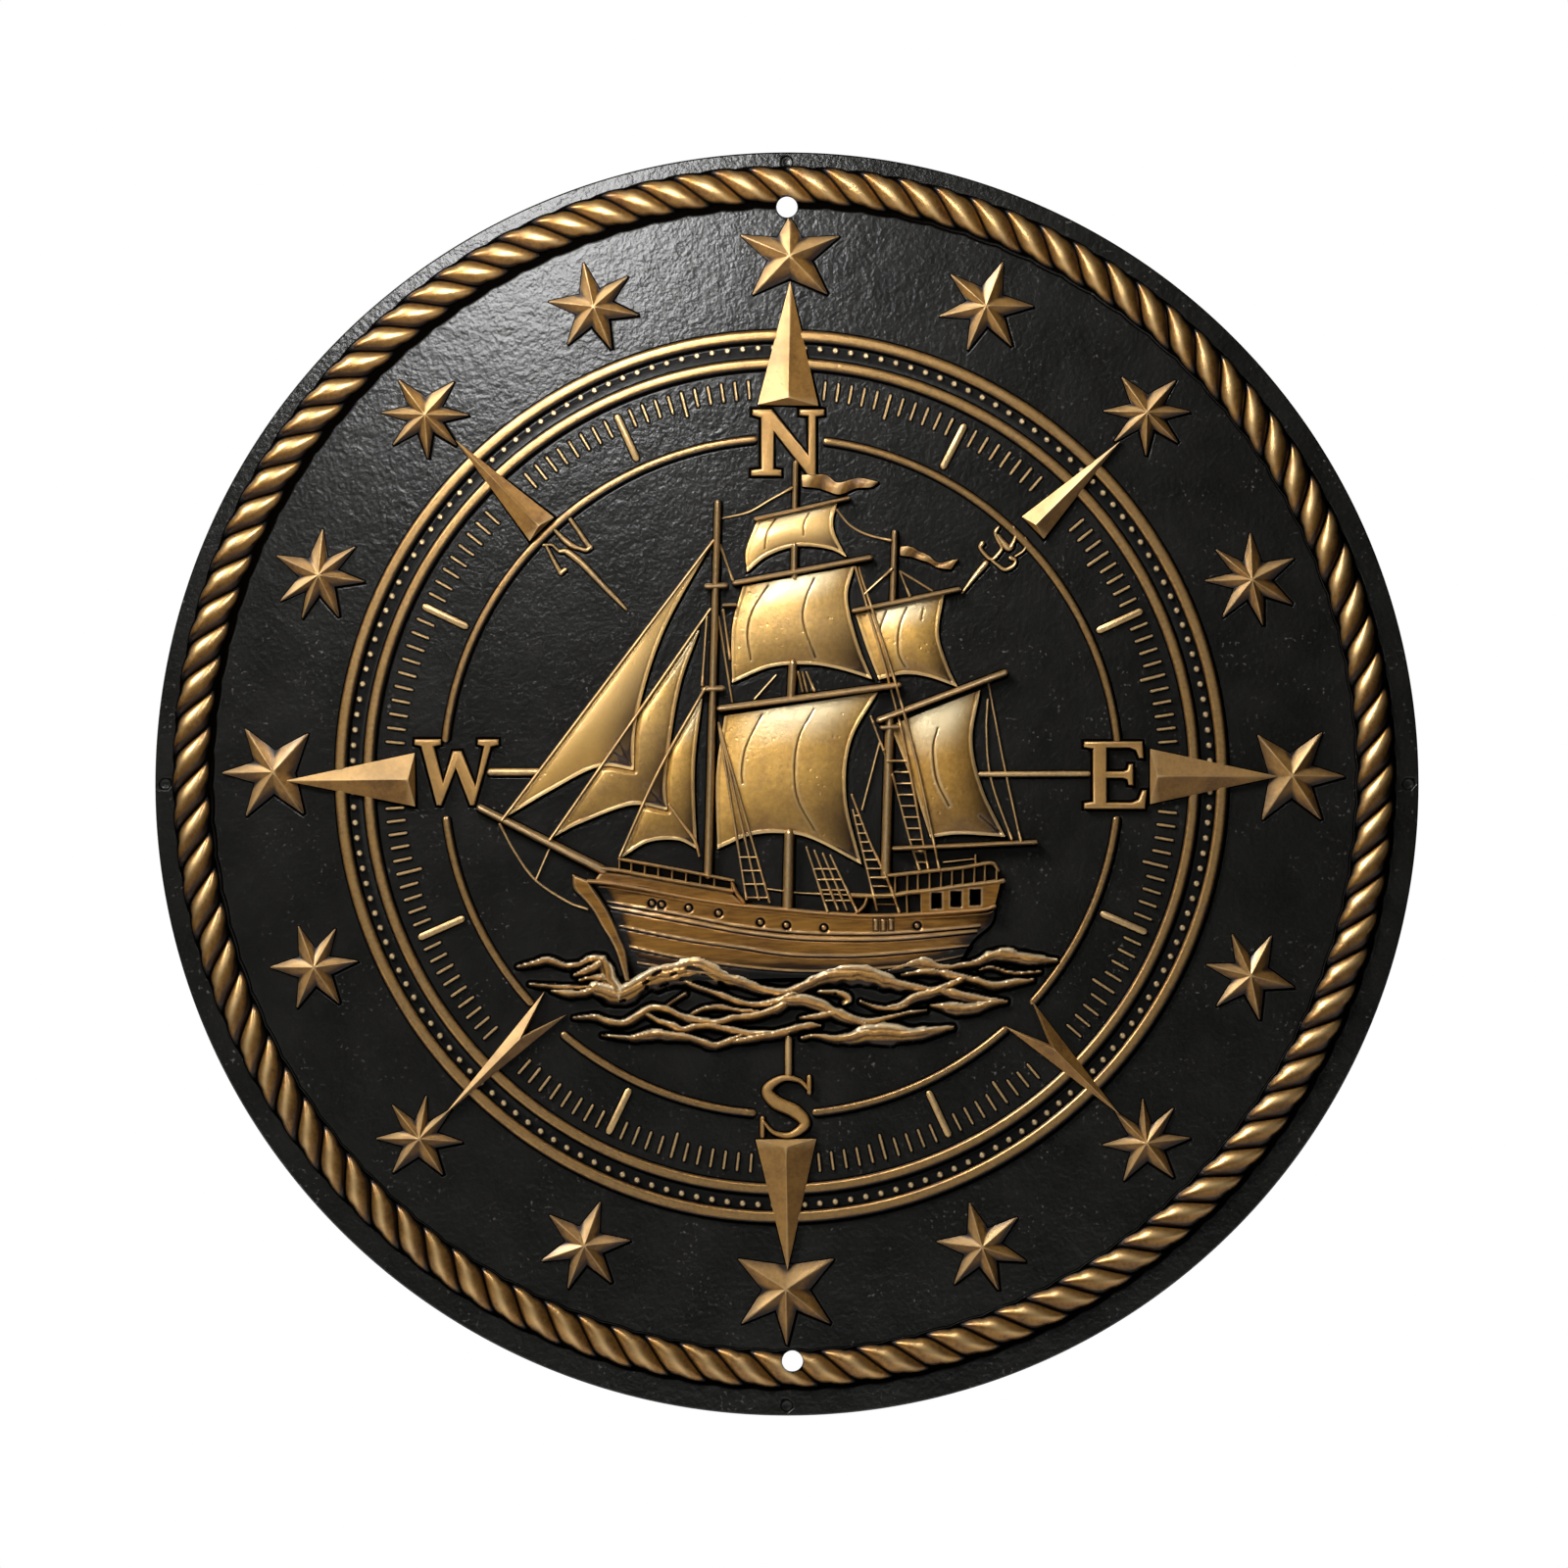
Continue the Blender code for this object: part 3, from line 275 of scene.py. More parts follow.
def puffed(flat, height, shadeAndDirt=0.0, rubAndHighlight=0.0):
    # a grid raised to its heights, walled down round its rim and closed underneath
    rows, columns = height.shape
    points = np.concatenate((flat, height[..., None]), axis=2).reshape(-1, 3)
    rim = rimOf(rows, columns)
    under = points[rim].copy()
    under[:, 2] = sheet["root"]
    ring = len(points) + np.arange(len(rim))
    wall = np.stack((rim, ring, np.roll(ring, -1), np.roll(rim, -1)), axis=1)
    tones = [np.broadcast_to(np.asarray(t, dtype=float), height.shape).ravel() for t in (shadeAndDirt, rubAndHighlight)]
    shadeAndDirt, rubAndHighlight = (np.concatenate((tone, tone[rim])) for tone in tones)
    faces = [gridFaces(rows, columns), wall, ring[None, ::-1]]
    return makeBody(np.vstack((points, under)), faces, shadeAndDirt, rubAndHighlight)


def turned(radii, heights, sides, shadeAndDirt=0.0, rubAndHighlight=0.0):
    # rings about an upright line, each with its own radius, height and tone
    around = np.linspace(0, math.tau, sides, endpoint=False)
    x, z = (np.asarray(radii)[:, None] * turn(around) for turn in (np.cos, np.sin))
    points = np.stack((x, z, np.broadcast_to(np.asarray(heights)[:, None], x.shape)), axis=2).reshape(-1, 3)
    return makeBody(points, stackFaces(len(radii), sides), shadeAndDirt, rubAndHighlight)


def copies(body, places, turns=0.0):
    # the same body at many places, each turned clockwise about its own middle by its own angle
    count, size = len(places), len(body["points"])
    turn = np.radians(np.broadcast_to(turns, (count,)))[:, None]
    x, z, h = (body["points"][:, k][None, :] for k in range(3))
    places = np.asarray(places, dtype=float)
    wide = x * np.cos(turn) + z * np.sin(turn) + places[:, :1]
    tall = z * np.cos(turn) - x * np.sin(turn) + places[:, 1:2]
    points = np.stack((wide, tall, np.broadcast_to(h, wide.shape)), axis=2).reshape(-1, 3)
    step = (np.arange(count) * size)[:, None, None]
    faces = [(loops[None] + step).reshape(-1, loops.shape[1]) for loops in body["faces"]]
    shadeAndDirt, rubAndHighlight = (np.tile(body[tone], count) for tone in ("shadeAndDirt", "rubAndHighlight"))
    return {"points": points, "faces": faces, "shadeAndDirt": shadeAndDirt, "rubAndHighlight": rubAndHighlight}


# The relief map holds the greatest height over each cell of the sign, for what lies across other forms

relief = {"cell": 0.4, "count": 760, "smoothing": 5, "slack": 0.25}
relief["map"] = np.zeros((relief["count"], relief["count"]))


def cellOf(x, z):
    # row and column of a place on the map: its distance in cells from the middle, held inside the map
    scaled = (np.asarray(value) / relief["cell"] + relief["count"] // 2 for value in (x, z))
    return tuple(np.clip(value.astype(int), 0, relief["count"] - 1) for value in scaled)


def noteRelief(bodies):
    # raises each cell to the highest point that falls in it
    for body in bodies:
        x, z, h = body["points"].T
        np.maximum.at(relief["map"], cellOf(x, z), h)


def blurred(field, cells):
    # running means along both axes, twice, which comes close to a bell curve
    kernel = np.ones(2 * cells + 1) / (2 * cells + 1)
    for _ in range(2):
        for axis in (0, 1):
            field = np.apply_along_axis(lambda line: np.convolve(line, kernel, mode="same"), axis, field)
    return field


def groundUnder(path):
    # greatest relief in the nine cells round each point, then a running mean along the path
    x, z = cellOf(path[:, 0], path[:, 1])
    last = relief["count"] - 1
    near = [(i, j) for i in (-1, 0, 1) for j in (-1, 0, 1)]
    top = np.max([relief["map"][np.clip(x + i, 0, last), np.clip(z + j, 0, last)] for i, j in near], axis=0)
    window = relief["smoothing"]
    padded = np.pad(top, window, mode="edge")
    mean = np.convolve(padded, np.ones(window) / window, mode="same")[window:-window]
    return np.maximum(mean, top - relief["slack"])


# Materials

class Shade:
    # a socket that Python's operators work on: each operation adds a Math node
    def __init__(self, tree, socket=None):
        self.tree = tree
        self.socket = socket

    def make(self, kind, settings=None, inputs=None, output=0):
        # any node: its settings first, then the values or links of its sockets
        node = self.tree.nodes.new(kind)
        for key, value in (settings or {}).items():
            setattr(node, key, value)
        feed(self.tree, node, inputs or {})
        return Shade(self.tree, node.outputs[output])

    def math(self, operation, *values):
        # a Math node over the values
        return self.make("ShaderNodeMath", {"operation": operation}, dict(enumerate(values)))

    def __add__(self, other):
        return self.math("ADD", self, other)

    def __radd__(self, other):
        return self.math("ADD", other, self)

    def __sub__(self, other):
        return self.math("SUBTRACT", self, other)

    def __rsub__(self, other):
        return self.math("SUBTRACT", other, self)

    def __mul__(self, other):
        return self.math("MULTIPLY", self, other)

    def __rmul__(self, other):
        return self.math("MULTIPLY", other, self)

    def noise(self, size, detail=2.0, roughness=0.5, swirl=0.0):
        # fractal noise whose largest features measure size in millimetres
        look = {"Detail": detail, "Roughness": roughness, "Distortion": swirl}
        return self.make("ShaderNodeTexNoise", {}, {"Vector": self, "Scale": 1 / (size * mm), **look})

    def cells(self, size):
        # distance to the nearest of many scattered points, about size millimetres apart
        return self.make("ShaderNodeTexVoronoi", {}, {"Vector": self, "Scale": 1 / (size * mm)})

    def between(self, low, high, toLow=0.0, toHigh=1.0):
        # linear from low to high, held at both ends
        values = {"Value": self, "From Min": low, "From Max": high, "To Min": toLow, "To Max": toHigh}
        return self.make("ShaderNodeMapRange", {"clamp": True}, values)

    def mix(self, first, second):
        # colour from first, where this value is 0, to second, where it is 1
        full = lambda colour: colour if isinstance(colour, Shade) else (*colour, 1)
        sockets = {0: self, 6: full(first), 7: full(second)}
        return self.make("ShaderNodeMix", {"data_type": "RGBA"}, sockets, 2)


def newMaterial(name):
    # a material with its tree, its shader and the place on the object as a socket to work on
    material = bpy.data.materials.new(name)
    material.use_nodes = True
    tree = material.node_tree
    shader = tree.nodes["Principled BSDF"]
    place = Shade(tree).make("ShaderNodeTexCoord", {}, {}, 3)
    return material, tree, shader, place


def toneOf(place):
    # the painted shade and dirt, and the rub and painted highlight, that the bodies carry in the colour
    # attribute "tone"
    tone = place.make("ShaderNodeAttribute", {"attribute_name": "tone"})
    return [place.make("ShaderNodeSeparateColor", {}, {"Color": tone}, k) for k in (0, 1)]


def bumped(place, height, strength, distance):
    # a height in shares of the distance, as a normal
    return place.make("ShaderNodeBump", {}, {"Strength": strength, "Distance": distance, "Height": height})


def feed(tree, node, values):
    # links a node's sockets to the values that vary and sets the others on them
    for key, value in values.items():
        if isinstance(value, Shade):
            tree.links.new(value.socket, node.inputs[key])
        else:
            node.inputs[key].default_value = value


enamel = {
    "black": (0.0042, 0.0040, 0.0034),
    "grey": (0.0100, 0.0096, 0.0086),
    "shadowBlack": (0.0018, 0.0013, 0.0009),
    "speck": (0.14, 0.132, 0.118),
    "specks": 0.6,
    "blotch": 16,  # mm, like the sizes below
    "fine": 0.8,
    "leather": 1.15,  # the hammered grain
    "folds": 4.6,
    "leatherDepth": 0.00032,  # metres
    "relief": (0.75, 0.5, 0.05),  # shares of folds, grain and fine noise in the surface
    "roughness": (0.25, 0.36),
    "recessRoughness": 0.8,
    "strength": 0.9,
}


def enamelLook(place, shadeAndDirt):
    # near-black paint over soft wrinkles, with a few pale specks; where shade is painted, in recesses and
    # the dark ground, it is a black metal that takes no light at all
    blotch = place.noise(enamel["blotch"], 3, 0.55)
    fine = place.noise(enamel["fine"], 3, 0.6)
    specks = place.noise(1.0, 1, 0.4).between(0.64, 0.72) * place.noise(9, 2).between(0.50, 0.66)
    body = blotch.between(0.35, 0.7).mix(enamel["black"], enamel["grey"])
    body = (specks * enamel["specks"]).mix(body, enamel["speck"])
    colour = shadeAndDirt.mix(body, enamel["shadowBlack"])
    low, high = enamel["roughness"]
    rough = fine.between(0, 1, low, high) + shadeAndDirt * (enamel["recessRoughness"] - high)
    folds = place.noise(enamel["folds"], 3, 0.5, 0.5)
    grain = place.noise(enamel["leather"], 2, 0.5)
    foldShare, grainShare, fineShare = enamel["relief"]
    height = (folds * foldShare + grain * grainShare + fine * fineShare) * (1 - shadeAndDirt * 0.6)
    metal = shadeAndDirt.between(0.2, 0.9)
    return colour, rough, height, metal


def blackEnamel():
    # the enamel by itself
    material, tree, shader, place = newMaterial("blackEnamel")
    colour, rough, height, metal = enamelLook(place, toneOf(place)[0])
    normal = bumped(place, height, enamel["strength"], enamel["leatherDepth"])
    feed(tree, shader, {"Base Color": colour, "Metallic": metal, "Roughness": rough, "Normal": normal})
    return material


# A finish of the bronze paint. Sizes are in millimetres.
bronze = {
    "pale": (0.95, 0.76, 0.46),  # where the paint is rubbed, and for painted highlights
    "brown": (0.17, 0.076, 0.021),  # with "gold", the two tones of worn paint
    "umber": (0.030, 0.014, 0.006),  # for painted shade in creases, and in pits
    "paintStart": 0.16,  # height above the face where the paint begins, and where it covers
    "paintFull": 0.42,
    "shadeUp": 0.8,  # above that, how far the painted shade and dirt reach
    "patch": 5.0,
    "fine": 0.8,
    "pit": 1.7,
    "pits": 0.1,
    "creaseDepth": 2.2,
    "rubAndHighlight": 0.75,
    "mottle": 1.0,
    "roughness": (0.26, 0.40),
    "bump": 0.22,
    "metal": 0.75,
    "coat": 0.45,
    "coatRoughness": 0.22,
    "stretch": (1, 1, 1),
    "strength": 0.8,
}


def agedBronze(name, look):
    # bronze paint rubbed over the raised forms: black below a height that wanders with noise and, as painted
    # shade, in creases; paler with painted highlight, darker with painted shade and dirt near each form's
    # foot
    material, tree, shader, place = newMaterial(name)
    shadeAndDirt, rubAndHighlight = toneOf(place)
    depth = place.make("ShaderNodeSeparateXYZ", {}, {"Vector": place}, 1)
    height = depth * (-1 / mm) - sheet["thickness"]
    drawn = place.make("ShaderNodeMapping", {}, {"Vector": place, "Scale": look["stretch"]})
    patchy = drawn.noise(look["patch"], 3, 0.6)
    fine = drawn.noise(look["fine"], 3, 0.65)
    pitted = place.noise(look["pit"] * 3.5, 2).between(0.52, 0.62)
    pits = place.cells(look["pit"]).between(0.10, 0.28, 1, 0) * pitted
    # painted shade: the paint edge rises in creases, leaving black enamel there
    edge = height + (fine - 0.5) * 0.22 - shadeAndDirt * look["creaseDepth"]
    full = look["paintFull"]
    paint = edge.between(look["paintStart"], full)
    worn = (patchy * 0.6 + fine * 0.4 - 0.47) * look["mottle"] + 0.47
    colour = worn.between(0.36, 0.58).mix(look["brown"], look["gold"])
    # painted highlight and rubbing: paler where the bodies carry it
    colour = (rubAndHighlight * look["rubAndHighlight"]).mix(colour, look["pale"])
    # painted shade and dirt: darker in creases and towards each form's foot
    lowShadeAndDirt = shadeAndDirt * 1.3 + (1 - edge.between(full, full + look["shadeUp"])) * 0.75
    colour = lowShadeAndDirt.between(0, 1.1).mix(colour, look["umber"])
    colour = (pits * look["pits"]).mix(colour, look["umber"])
    enamelColour, enamelRough, enamelHeight, enamelMetal = enamelLook(place, shadeAndDirt.between(0, 1))
    low, high = look["roughness"]
    paintRough = fine.between(0, 1, low, high) + patchy.between(0.55, 0.3, 0, 0.12)
    bumps = (fine * 0.5 + patchy * 0.35 - pits * 0.5) * look["bump"]
    surface = enamelHeight + (bumps - enamelHeight) * paint
    feed(tree, shader, {
        "Base Color": paint.mix(enamelColour, colour),
        "Metallic": paint * look["metal"] + (1 - paint) * enamelMetal,
        "Roughness": enamelRough + (paintRough - enamelRough) * paint,
        "Normal": bumped(place, surface, look["strength"], enamel["leatherDepth"]),
        "Coat Weight": paint * look["coat"],
        "Coat Roughness": look["coatRoughness"],
    })
    return material


sparFinish = {"shadeUp": 0.5, "pits": 0.15, "gold": (0.46, 0.245, 0.060), "brown": (0.21, 0.105, 0.028)}
sailFinish = {
    "gold": (0.88, 0.50, 0.105), "brown": (0.42, 0.21, 0.045), "pale": (1.00, 0.84, 0.52),
    "patch": 4.5, "fine": 1.0, "metal": 0.45, "rubAndHighlight": 0.85, "shadeUp": 0.4, "roughness": (0.34, 0.46),
    "pits": 0.0, "mottle": 0.6, "bump": 0.85, "creaseDepth": 0.5,
}
facetFinish = {
    "gold": (0.32, 0.160, 0.034), "brown": (0.14, 0.062, 0.014), "pale": (0.92, 0.64, 0.30),
    "patch": 6.0, "metal": 0.50, "coat": 0.15, "roughness": (0.40, 0.54), "rubAndHighlight": 0.6, "mottle": 0.8,
    "creaseDepth": 0.8,
}
bronzeFinishes = {
    "fine": {
        **sparFinish, "coat": 0.1, "roughness": (0.40, 0.52), "shadeUp": 0.12, "creaseDepth": 1.2,
        "patch": 9.0, "gold": (0.62, 0.36, 0.11), "pits": 0.0,
    },
    "spar": sparFinish,
    "sail": sailFinish,
    # lit and shaded copies of the sail finish: darker for the spanker, brighter and less metallic for the
    # royal and flying jib
    "spanker": {**sailFinish, "gold": (0.62, 0.34, 0.070), "brown": (0.28, 0.135, 0.028)},
    "jib": {**sailFinish, "metal": 0.15, "gold": (1.00, 0.57, 0.118), "brown": (0.86, 0.45, 0.090)},
    "plank": {
        "gold": (0.46, 0.215, 0.040), "brown": (0.15, 0.062, 0.013), "creaseDepth": 3.0, "rubAndHighlight": 0.6,
        "patch": 3.2, "fine": 0.6, "metal": 0.55, "coat": 0.2, "stretch": (0.14, 1, 1),
    },
    "wave": {
        "gold": (0.66, 0.34, 0.074), "brown": (0.24, 0.110, 0.026), "pale": (1.00, 0.86, 0.58),
        "patch": 4.0, "metal": 0.5, "coat": 0.2, "rubAndHighlight": 0.9, "shadeUp": 1.2, "creaseDepth": 1.0,
        "pits": 0.0, "mottle": 0.7, "bump": 0.08,
    },
    "facet": facetFinish,
    "ring": {"gold": (0.46, 0.235, 0.062), "pale": (0.93, 0.64, 0.29), "coat": 0.3},
    "rope": {
        "gold": (0.34, 0.168, 0.037), "brown": (0.15, 0.067, 0.017), "pale": (0.90, 0.62, 0.28),
        "coat": 0.3, "roughness": (0.32, 0.44), "rubAndHighlight": 0.9, "shadeUp": 1.2, "creaseDepth": 1.6,
    },
    "letter": {**facetFinish, "gold": (0.42, 0.215, 0.048), "brown": (0.25, 0.120, 0.028), "rubAndHighlight": 0.4},
}


tin = {
    "bright": (0.56, 0.56, 0.55),
    "dull": (0.34, 0.335, 0.32),
    "stain": (0.20, 0.15, 0.10),
    "rolling": (0.04, 1, 1),
    "line": 0.5,
    "lineDepth": 0.00002,  # metres
    "cloud": 34,
    "stains": 21,
}


def bareTin():
    # rolled tinplate: fine lines along the rolling direction, cloudy dulling and a few brown stains
    material, tree, shader, place = newMaterial("bareTin")
    stretched = place.make("ShaderNodeMapping", {}, {"Vector": place, "Scale": tin["rolling"]})
    rolled = stretched.noise(tin["line"], 2, 0.6)
    clouds = place.noise(tin["cloud"], 4, 0.6)
    stains = place.noise(tin["stains"], 4, 0.7).between(0.60, 0.74)
    colour = (clouds * 0.7 + rolled * 0.3).between(0.35, 0.62).mix(tin["dull"], tin["bright"])
    feed(tree, shader, {
        "Base Color": (stains * 0.6).mix(colour, tin["stain"]),
        "Metallic": 0.95,
        "Roughness": clouds.between(0.3, 0.7, 0.46, 0.30) + stains * 0.25,
        "Normal": bumped(place, rolled, 0.5, tin["lineDepth"]),
    })
    return material


def addPiece(name, bodies, material):
    # joins the bodies into one mesh, in metres, with the tone of each point as a colour attribute
    offset, points, loops = 0, [], []
    for body in bodies:
        points.append(body["points"])
        for faces in body["faces"]:
            loops += (faces + offset).tolist()
        offset += len(body["points"])
    x, z, h = np.vstack(points).T
    placed = np.stack((x, -(sheet["thickness"] + h), z), axis=1) * mm
    mesh = bpy.data.meshes.new(name)
    mesh.from_pydata(placed.tolist(), [], loops)
    shadeAndDirt, rubAndHighlight = (np.concatenate([body[tone] for body in bodies]) for tone in ("shadeAndDirt", "rubAndHighlight"))
    tone = np.stack((shadeAndDirt, rubAndHighlight, np.zeros(offset), np.ones(offset)), axis=1)
    mesh.attributes.new("tone", "FLOAT_COLOR", "POINT").data.foreach_set("color", tone.ravel())
    mesh.materials.append(material)
    mesh.shade_smooth()
    mesh.set_sharp_from_angle(angle=sharpAngle)
    piece = bpy.data.objects.new(name, mesh)
    bpy.context.scene.collection.objects.link(piece)
    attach(piece, "root")
    triangles = sum(len(faces) * (faces.shape[1] - 2) for body in bodies for faces in body["faces"])
    print(f"{name}: {triangles} triangles")
    return piece


# Cross-sections for swept forms, with the dark ground of painted shadow beside each

def crossSection(kind, shadowWidth=0.8, steps=9):
    # rows of (share of half width, extra width, share of rise, extra height, painted shade, painted
    # highlight) over a half turn:
    # height = (1 - share^2)^0.5, or (1 - share^5)^0.6 for a flat top with rounded shoulders
    angle = np.linspace(0, math.pi, steps)
    share = -np.cos(angle)
    fullness, power = (5, 0.6) if kind == "flat" else (2, 0.5)
    height = np.maximum(1 - np.abs(share) ** fullness, 0) ** power
    # painted highlight along the crown, painted shade low on the flanks
    crownHighlight = 0.45 * np.maximum(0, np.sin(angle)) ** 4
    shadeAndDirt = 0.55 * (1 - smoothStep(height, 0, 0.5))
    zero = np.zeros(steps)
    form = np.stack((share, zero, height, zero + 0.02, shadeAndDirt, crownHighlight), axis=1)
    if not shadowWidth:
        return form
    beside = ((shadowWidth, 0), (shadowWidth * 0.55, 1), (0.02, 1))
    left = np.array([(-1, -reach, 0, sheet["ground"], dark, 0) for reach, dark in beside])
    right = left[::-1] * (-1, -1, 1, 1, 1, 1)
    return np.vstack((left, form, right))


def shadowGroundOf(outline, width=0.85):
    # painted shadow: the dark ground beside an outlined form, flat, and fading to bare enamel at its rim
    rings = ((width, 0), (width * 0.55, 1), (0, 1))
    return slab(outline, [(reach, sheet["ground"], dark, 0) for reach, dark in rings], shadowSide=True)


# Rope border: one closed grid of leaf-shaped strands, sheared along the run

rope = {
    "radius": 140.6,
    "halfWidth": 4.3,
    "rise": 2.95,
    "strands": 102,
    "lean": 2.65,  # degrees along the run between a strand's middle and its end
    "groove": 0.12,  # height left in the grooves, as a share
    "filled": 1.0,  # share of the pitch taken by a strand
    "narrow": 0.87,  # half width at the grooves, as a share
    "rubAndHighlight": 0.75,
    "shadowTurn": 46,  # degrees from the rope's run to the way across a strand
    "acrossStrand": 18,
    "acrossRope": 21,
    "lipSteps": 10,  # points of the lip along one strand
}


def ropeHalf(angle, side):
    # the rope's half width at an angle: full at the strands' ends, narrower at the grooves between them
    beside = (angle + side * rope["lean"]) * rope["strands"] / 360
    bulge = (1 - np.abs(2 * (beside - np.round(beside))) ** 2.2) ** 0.6
    return rope["halfWidth"] * (rope["narrow"] + (1 - rope["narrow"]) * bulge)


def ropeBody():
    # a strand has painted highlight along its upper left flank, and painted shade along the other and in the
    # grooves;
    # angle = strand's middle + place across it - lean times the arcsine of v; height = a half-round envelope
    # over v times the strand's half-round profile over u, which narrows to a round end at both edges
    place = np.linspace(-0.5, 0.5, rope["acrossStrand"], endpoint=False)
    v = np.sin(np.linspace(-math.pi / 2, math.pi / 2, rope["acrossRope"]))[None, :]
    u = np.tile(place, rope["strands"])[:, None]
    middle = np.repeat(np.arange(rope["strands"]) * 360 / rope["strands"], rope["acrossStrand"])[:, None]
    room = rope["filled"] * np.maximum(1 - np.abs(v) ** 8, 0) ** 0.5 + 0.02
    leaf = np.maximum(1 - (2 * np.abs(u) / room) ** 2, 0) ** 0.5
    angle = middle + u * 360 / rope["strands"] - rope["lean"] * np.arcsin(v) * 2 / math.pi
    radius = rope["radius"] + v * ropeHalf(angle, np.sign(v))
    envelope = np.maximum(1 - np.abs(v) ** 2.3, 0) ** 0.55
    height = rope["rise"] * envelope * (rope["groove"] + (1 - rope["groove"]) * leaf)
    height[:, 0] = height[:, -1] = sheet["root"]
    height[:, 1:-1] = np.maximum(height[:, 1:-1], 0.05)
    points = np.concatenate((fromTop(angle, radius, sheet["ropeCentre"]), height[..., None]), axis=2)
    across = fromTop(angle + rope["shadowTurn"], 1)
    shadowSide = facingShadow(across) - facingShadow(-across)
    shadeAndDirt = 1 - smoothStep(leaf * envelope**0.5, 0.04, 0.58)
    shadeAndDirt = np.maximum(shadeAndDirt, 0.65 * smoothStep(u * shadowSide, 0.02, 0.30))
    rubAndHighlight = rope["rubAndHighlight"] * np.exp(-(((u + 0.20 * shadowSide) / 0.13) ** 2)) * envelope**2
    rows, columns = height.shape
    grid = gridFaces(rows, columns, closeRows=True, closeColumns=True)
    return makeBody(points.reshape(-1, 3), [grid], shadeAndDirt.ravel(), rubAndHighlight.ravel())


def ropeLip():
    # painted shadow as dark ground under the rope, wider on its lower right, with a thin lip beside it that
    # follows the strands' ends
    # and is darkened where the shadow lies: rings of points at distances from the rope's scalloped inner or
    # outer edge
    count = rope["strands"] * rope["lipSteps"]
    angle = np.arange(count) * 360 / count
    inner = rope["radius"] - ropeHalf(angle, -1)
    outer = rope["radius"] + ropeHalf(angle, 1)
    outwards = fromTop(angle, 1)
    below, beyond = facingShadow(-outwards), facingShadow(outwards)
    lip = np.minimum(1, 1.4 * below)
    start, end = inner - 0.7 - 1.5 * below, outer + 0.3 + 1.3 * beyond
    root, ground, rim, crest = sheet["root"], sheet["ground"], 0.02, 0.10
    rows = (
        (start, root, 0), (start, rim, 0),
        (inner - 0.5 - 1.2 * below, ground, 0.9), (inner - 0.4 - 0.9 * below, ground, 1),
        (inner - 0.3 - 0.7 * below, crest, lip), (inner - 0.15 - 0.5 * below, crest, lip),
        (inner - 0.1, ground, 1), (outer + 0.05, ground, 1),
        (outer + 0.1 + 0.9 * beyond, rim, 0.9), (end, rim, 0), (end, root, 0),
    )
    radii, levels, creases = zip(*rows)
    flat = np.stack([fromTop(angle, radius, sheet["ropeCentre"]) for radius in radii])
    heights = np.broadcast_to(np.array(levels)[:, None, None], (len(rows), count, 1))
    points = np.concatenate((flat, heights), axis=2).reshape(-1, 3)
    shadeAndDirt = np.concatenate([np.broadcast_to(shadeAndDirt, count) for shadeAndDirt in creases])
    return makeBody(points, [gridFaces(len(rows), count, closeRows=True, closeColumns=True)], shadeAndDirt)


# The dial

dial = {
    "rings": ((104.6, 1.45, 1.25), (98.0, 1.35, 1.2)),  # radius, half width, rise
    "circle": (80.2, 0.95, 1.0),
    "gaps": ((1.5, 6.2), (90.5, 6.9), (135.2, 3.4), (179.5, 5.4), (224.0, 4.0), (269.5, 6.9)),
    "beads": 174,
    "beadRadius": 101.8,
    "beadSize": 0.85,
    "tickTop": 94.5,
    "ticks": ((4.9, 0.42, 0.7), (6.6, 0.45, 0.7), (12.3, 0.85, 1.0)),  # length, half width, rise
    # between two pointers: first and last tick, their number, the long one, and those of middle length
    "tickRuns": (
        (6.4, 41.0, 19, 11, (5,)), (49.6, 84.9, 19, 8, (3, 13)), (95.3, 131.0, 19, 9, (4, 14)),
        (139.5, 174.4, 19, 8, (3, 13)), (184.5, 221.5, 20, 11, (6,)), (228.6, 265.3, 20, 9, (14,)),
        (275.0, 311.8, 19, 10, ()), (319.7, 355.2, 19, 8, (13,)),
    ),
}


def dialBodies():
    # two whole rings, and a thinner circle in arcs from each gap's end to the next one's start
    centre = sheet["dialCentre"]
    bodies = []
    for radius, half, rise in dial["rings"]:
        circle = fromTop(np.arange(720) * 360 / 720, radius, centre)
        bodies.append(sweep(circle, half, rise, crossSection("flat", 0.9, 13), closed=True))
    radius, half, rise = dial["circle"]
    for k, (middle, gap) in enumerate(dial["gaps"]):
        following = dial["gaps"][(k + 1) % len(dial["gaps"])]
        start, end = middle + gap, following[0] - following[1]
        end += 360 if end < start else 0
        arc = fromTop(np.linspace(start, end, max(8, int(end - start))), radius, centre)
        bodies.append(sweep(arc, half, rise, crossSection("flat", 0.8, 11)))
    return bodies


def dome(radius, rise, sides, rows):
    # a half ball: rings of points at the cosine and sine of even angles, closed by its crown
    angle = np.linspace(0, math.pi / 2, rows + 1)[:-1]
    angle = np.concatenate(([0], angle))
    height = np.concatenate(([sheet["root"]], rise * np.sin(angle[1:]) + 0.02))
    # painted highlight towards the crown, painted shade towards the foot
    rubAndHighlight = np.repeat(np.concatenate(([0], np.sin(angle[1:]))), sides)
    return turned(radius * np.cos(angle), height, sides, 0.3 * (1 - rubAndHighlight), rubAndHighlight)


def beadBodies():
    # one bead, copied to even angles between the two rings
    angle = (np.arange(dial["beads"]) + 0.5) * 360 / dial["beads"]
    places = fromTop(angle, dial["beadRadius"], sheet["dialCentre"])
    return [copies(dome(dial["beadSize"], 1.0, 9, 3), places)]


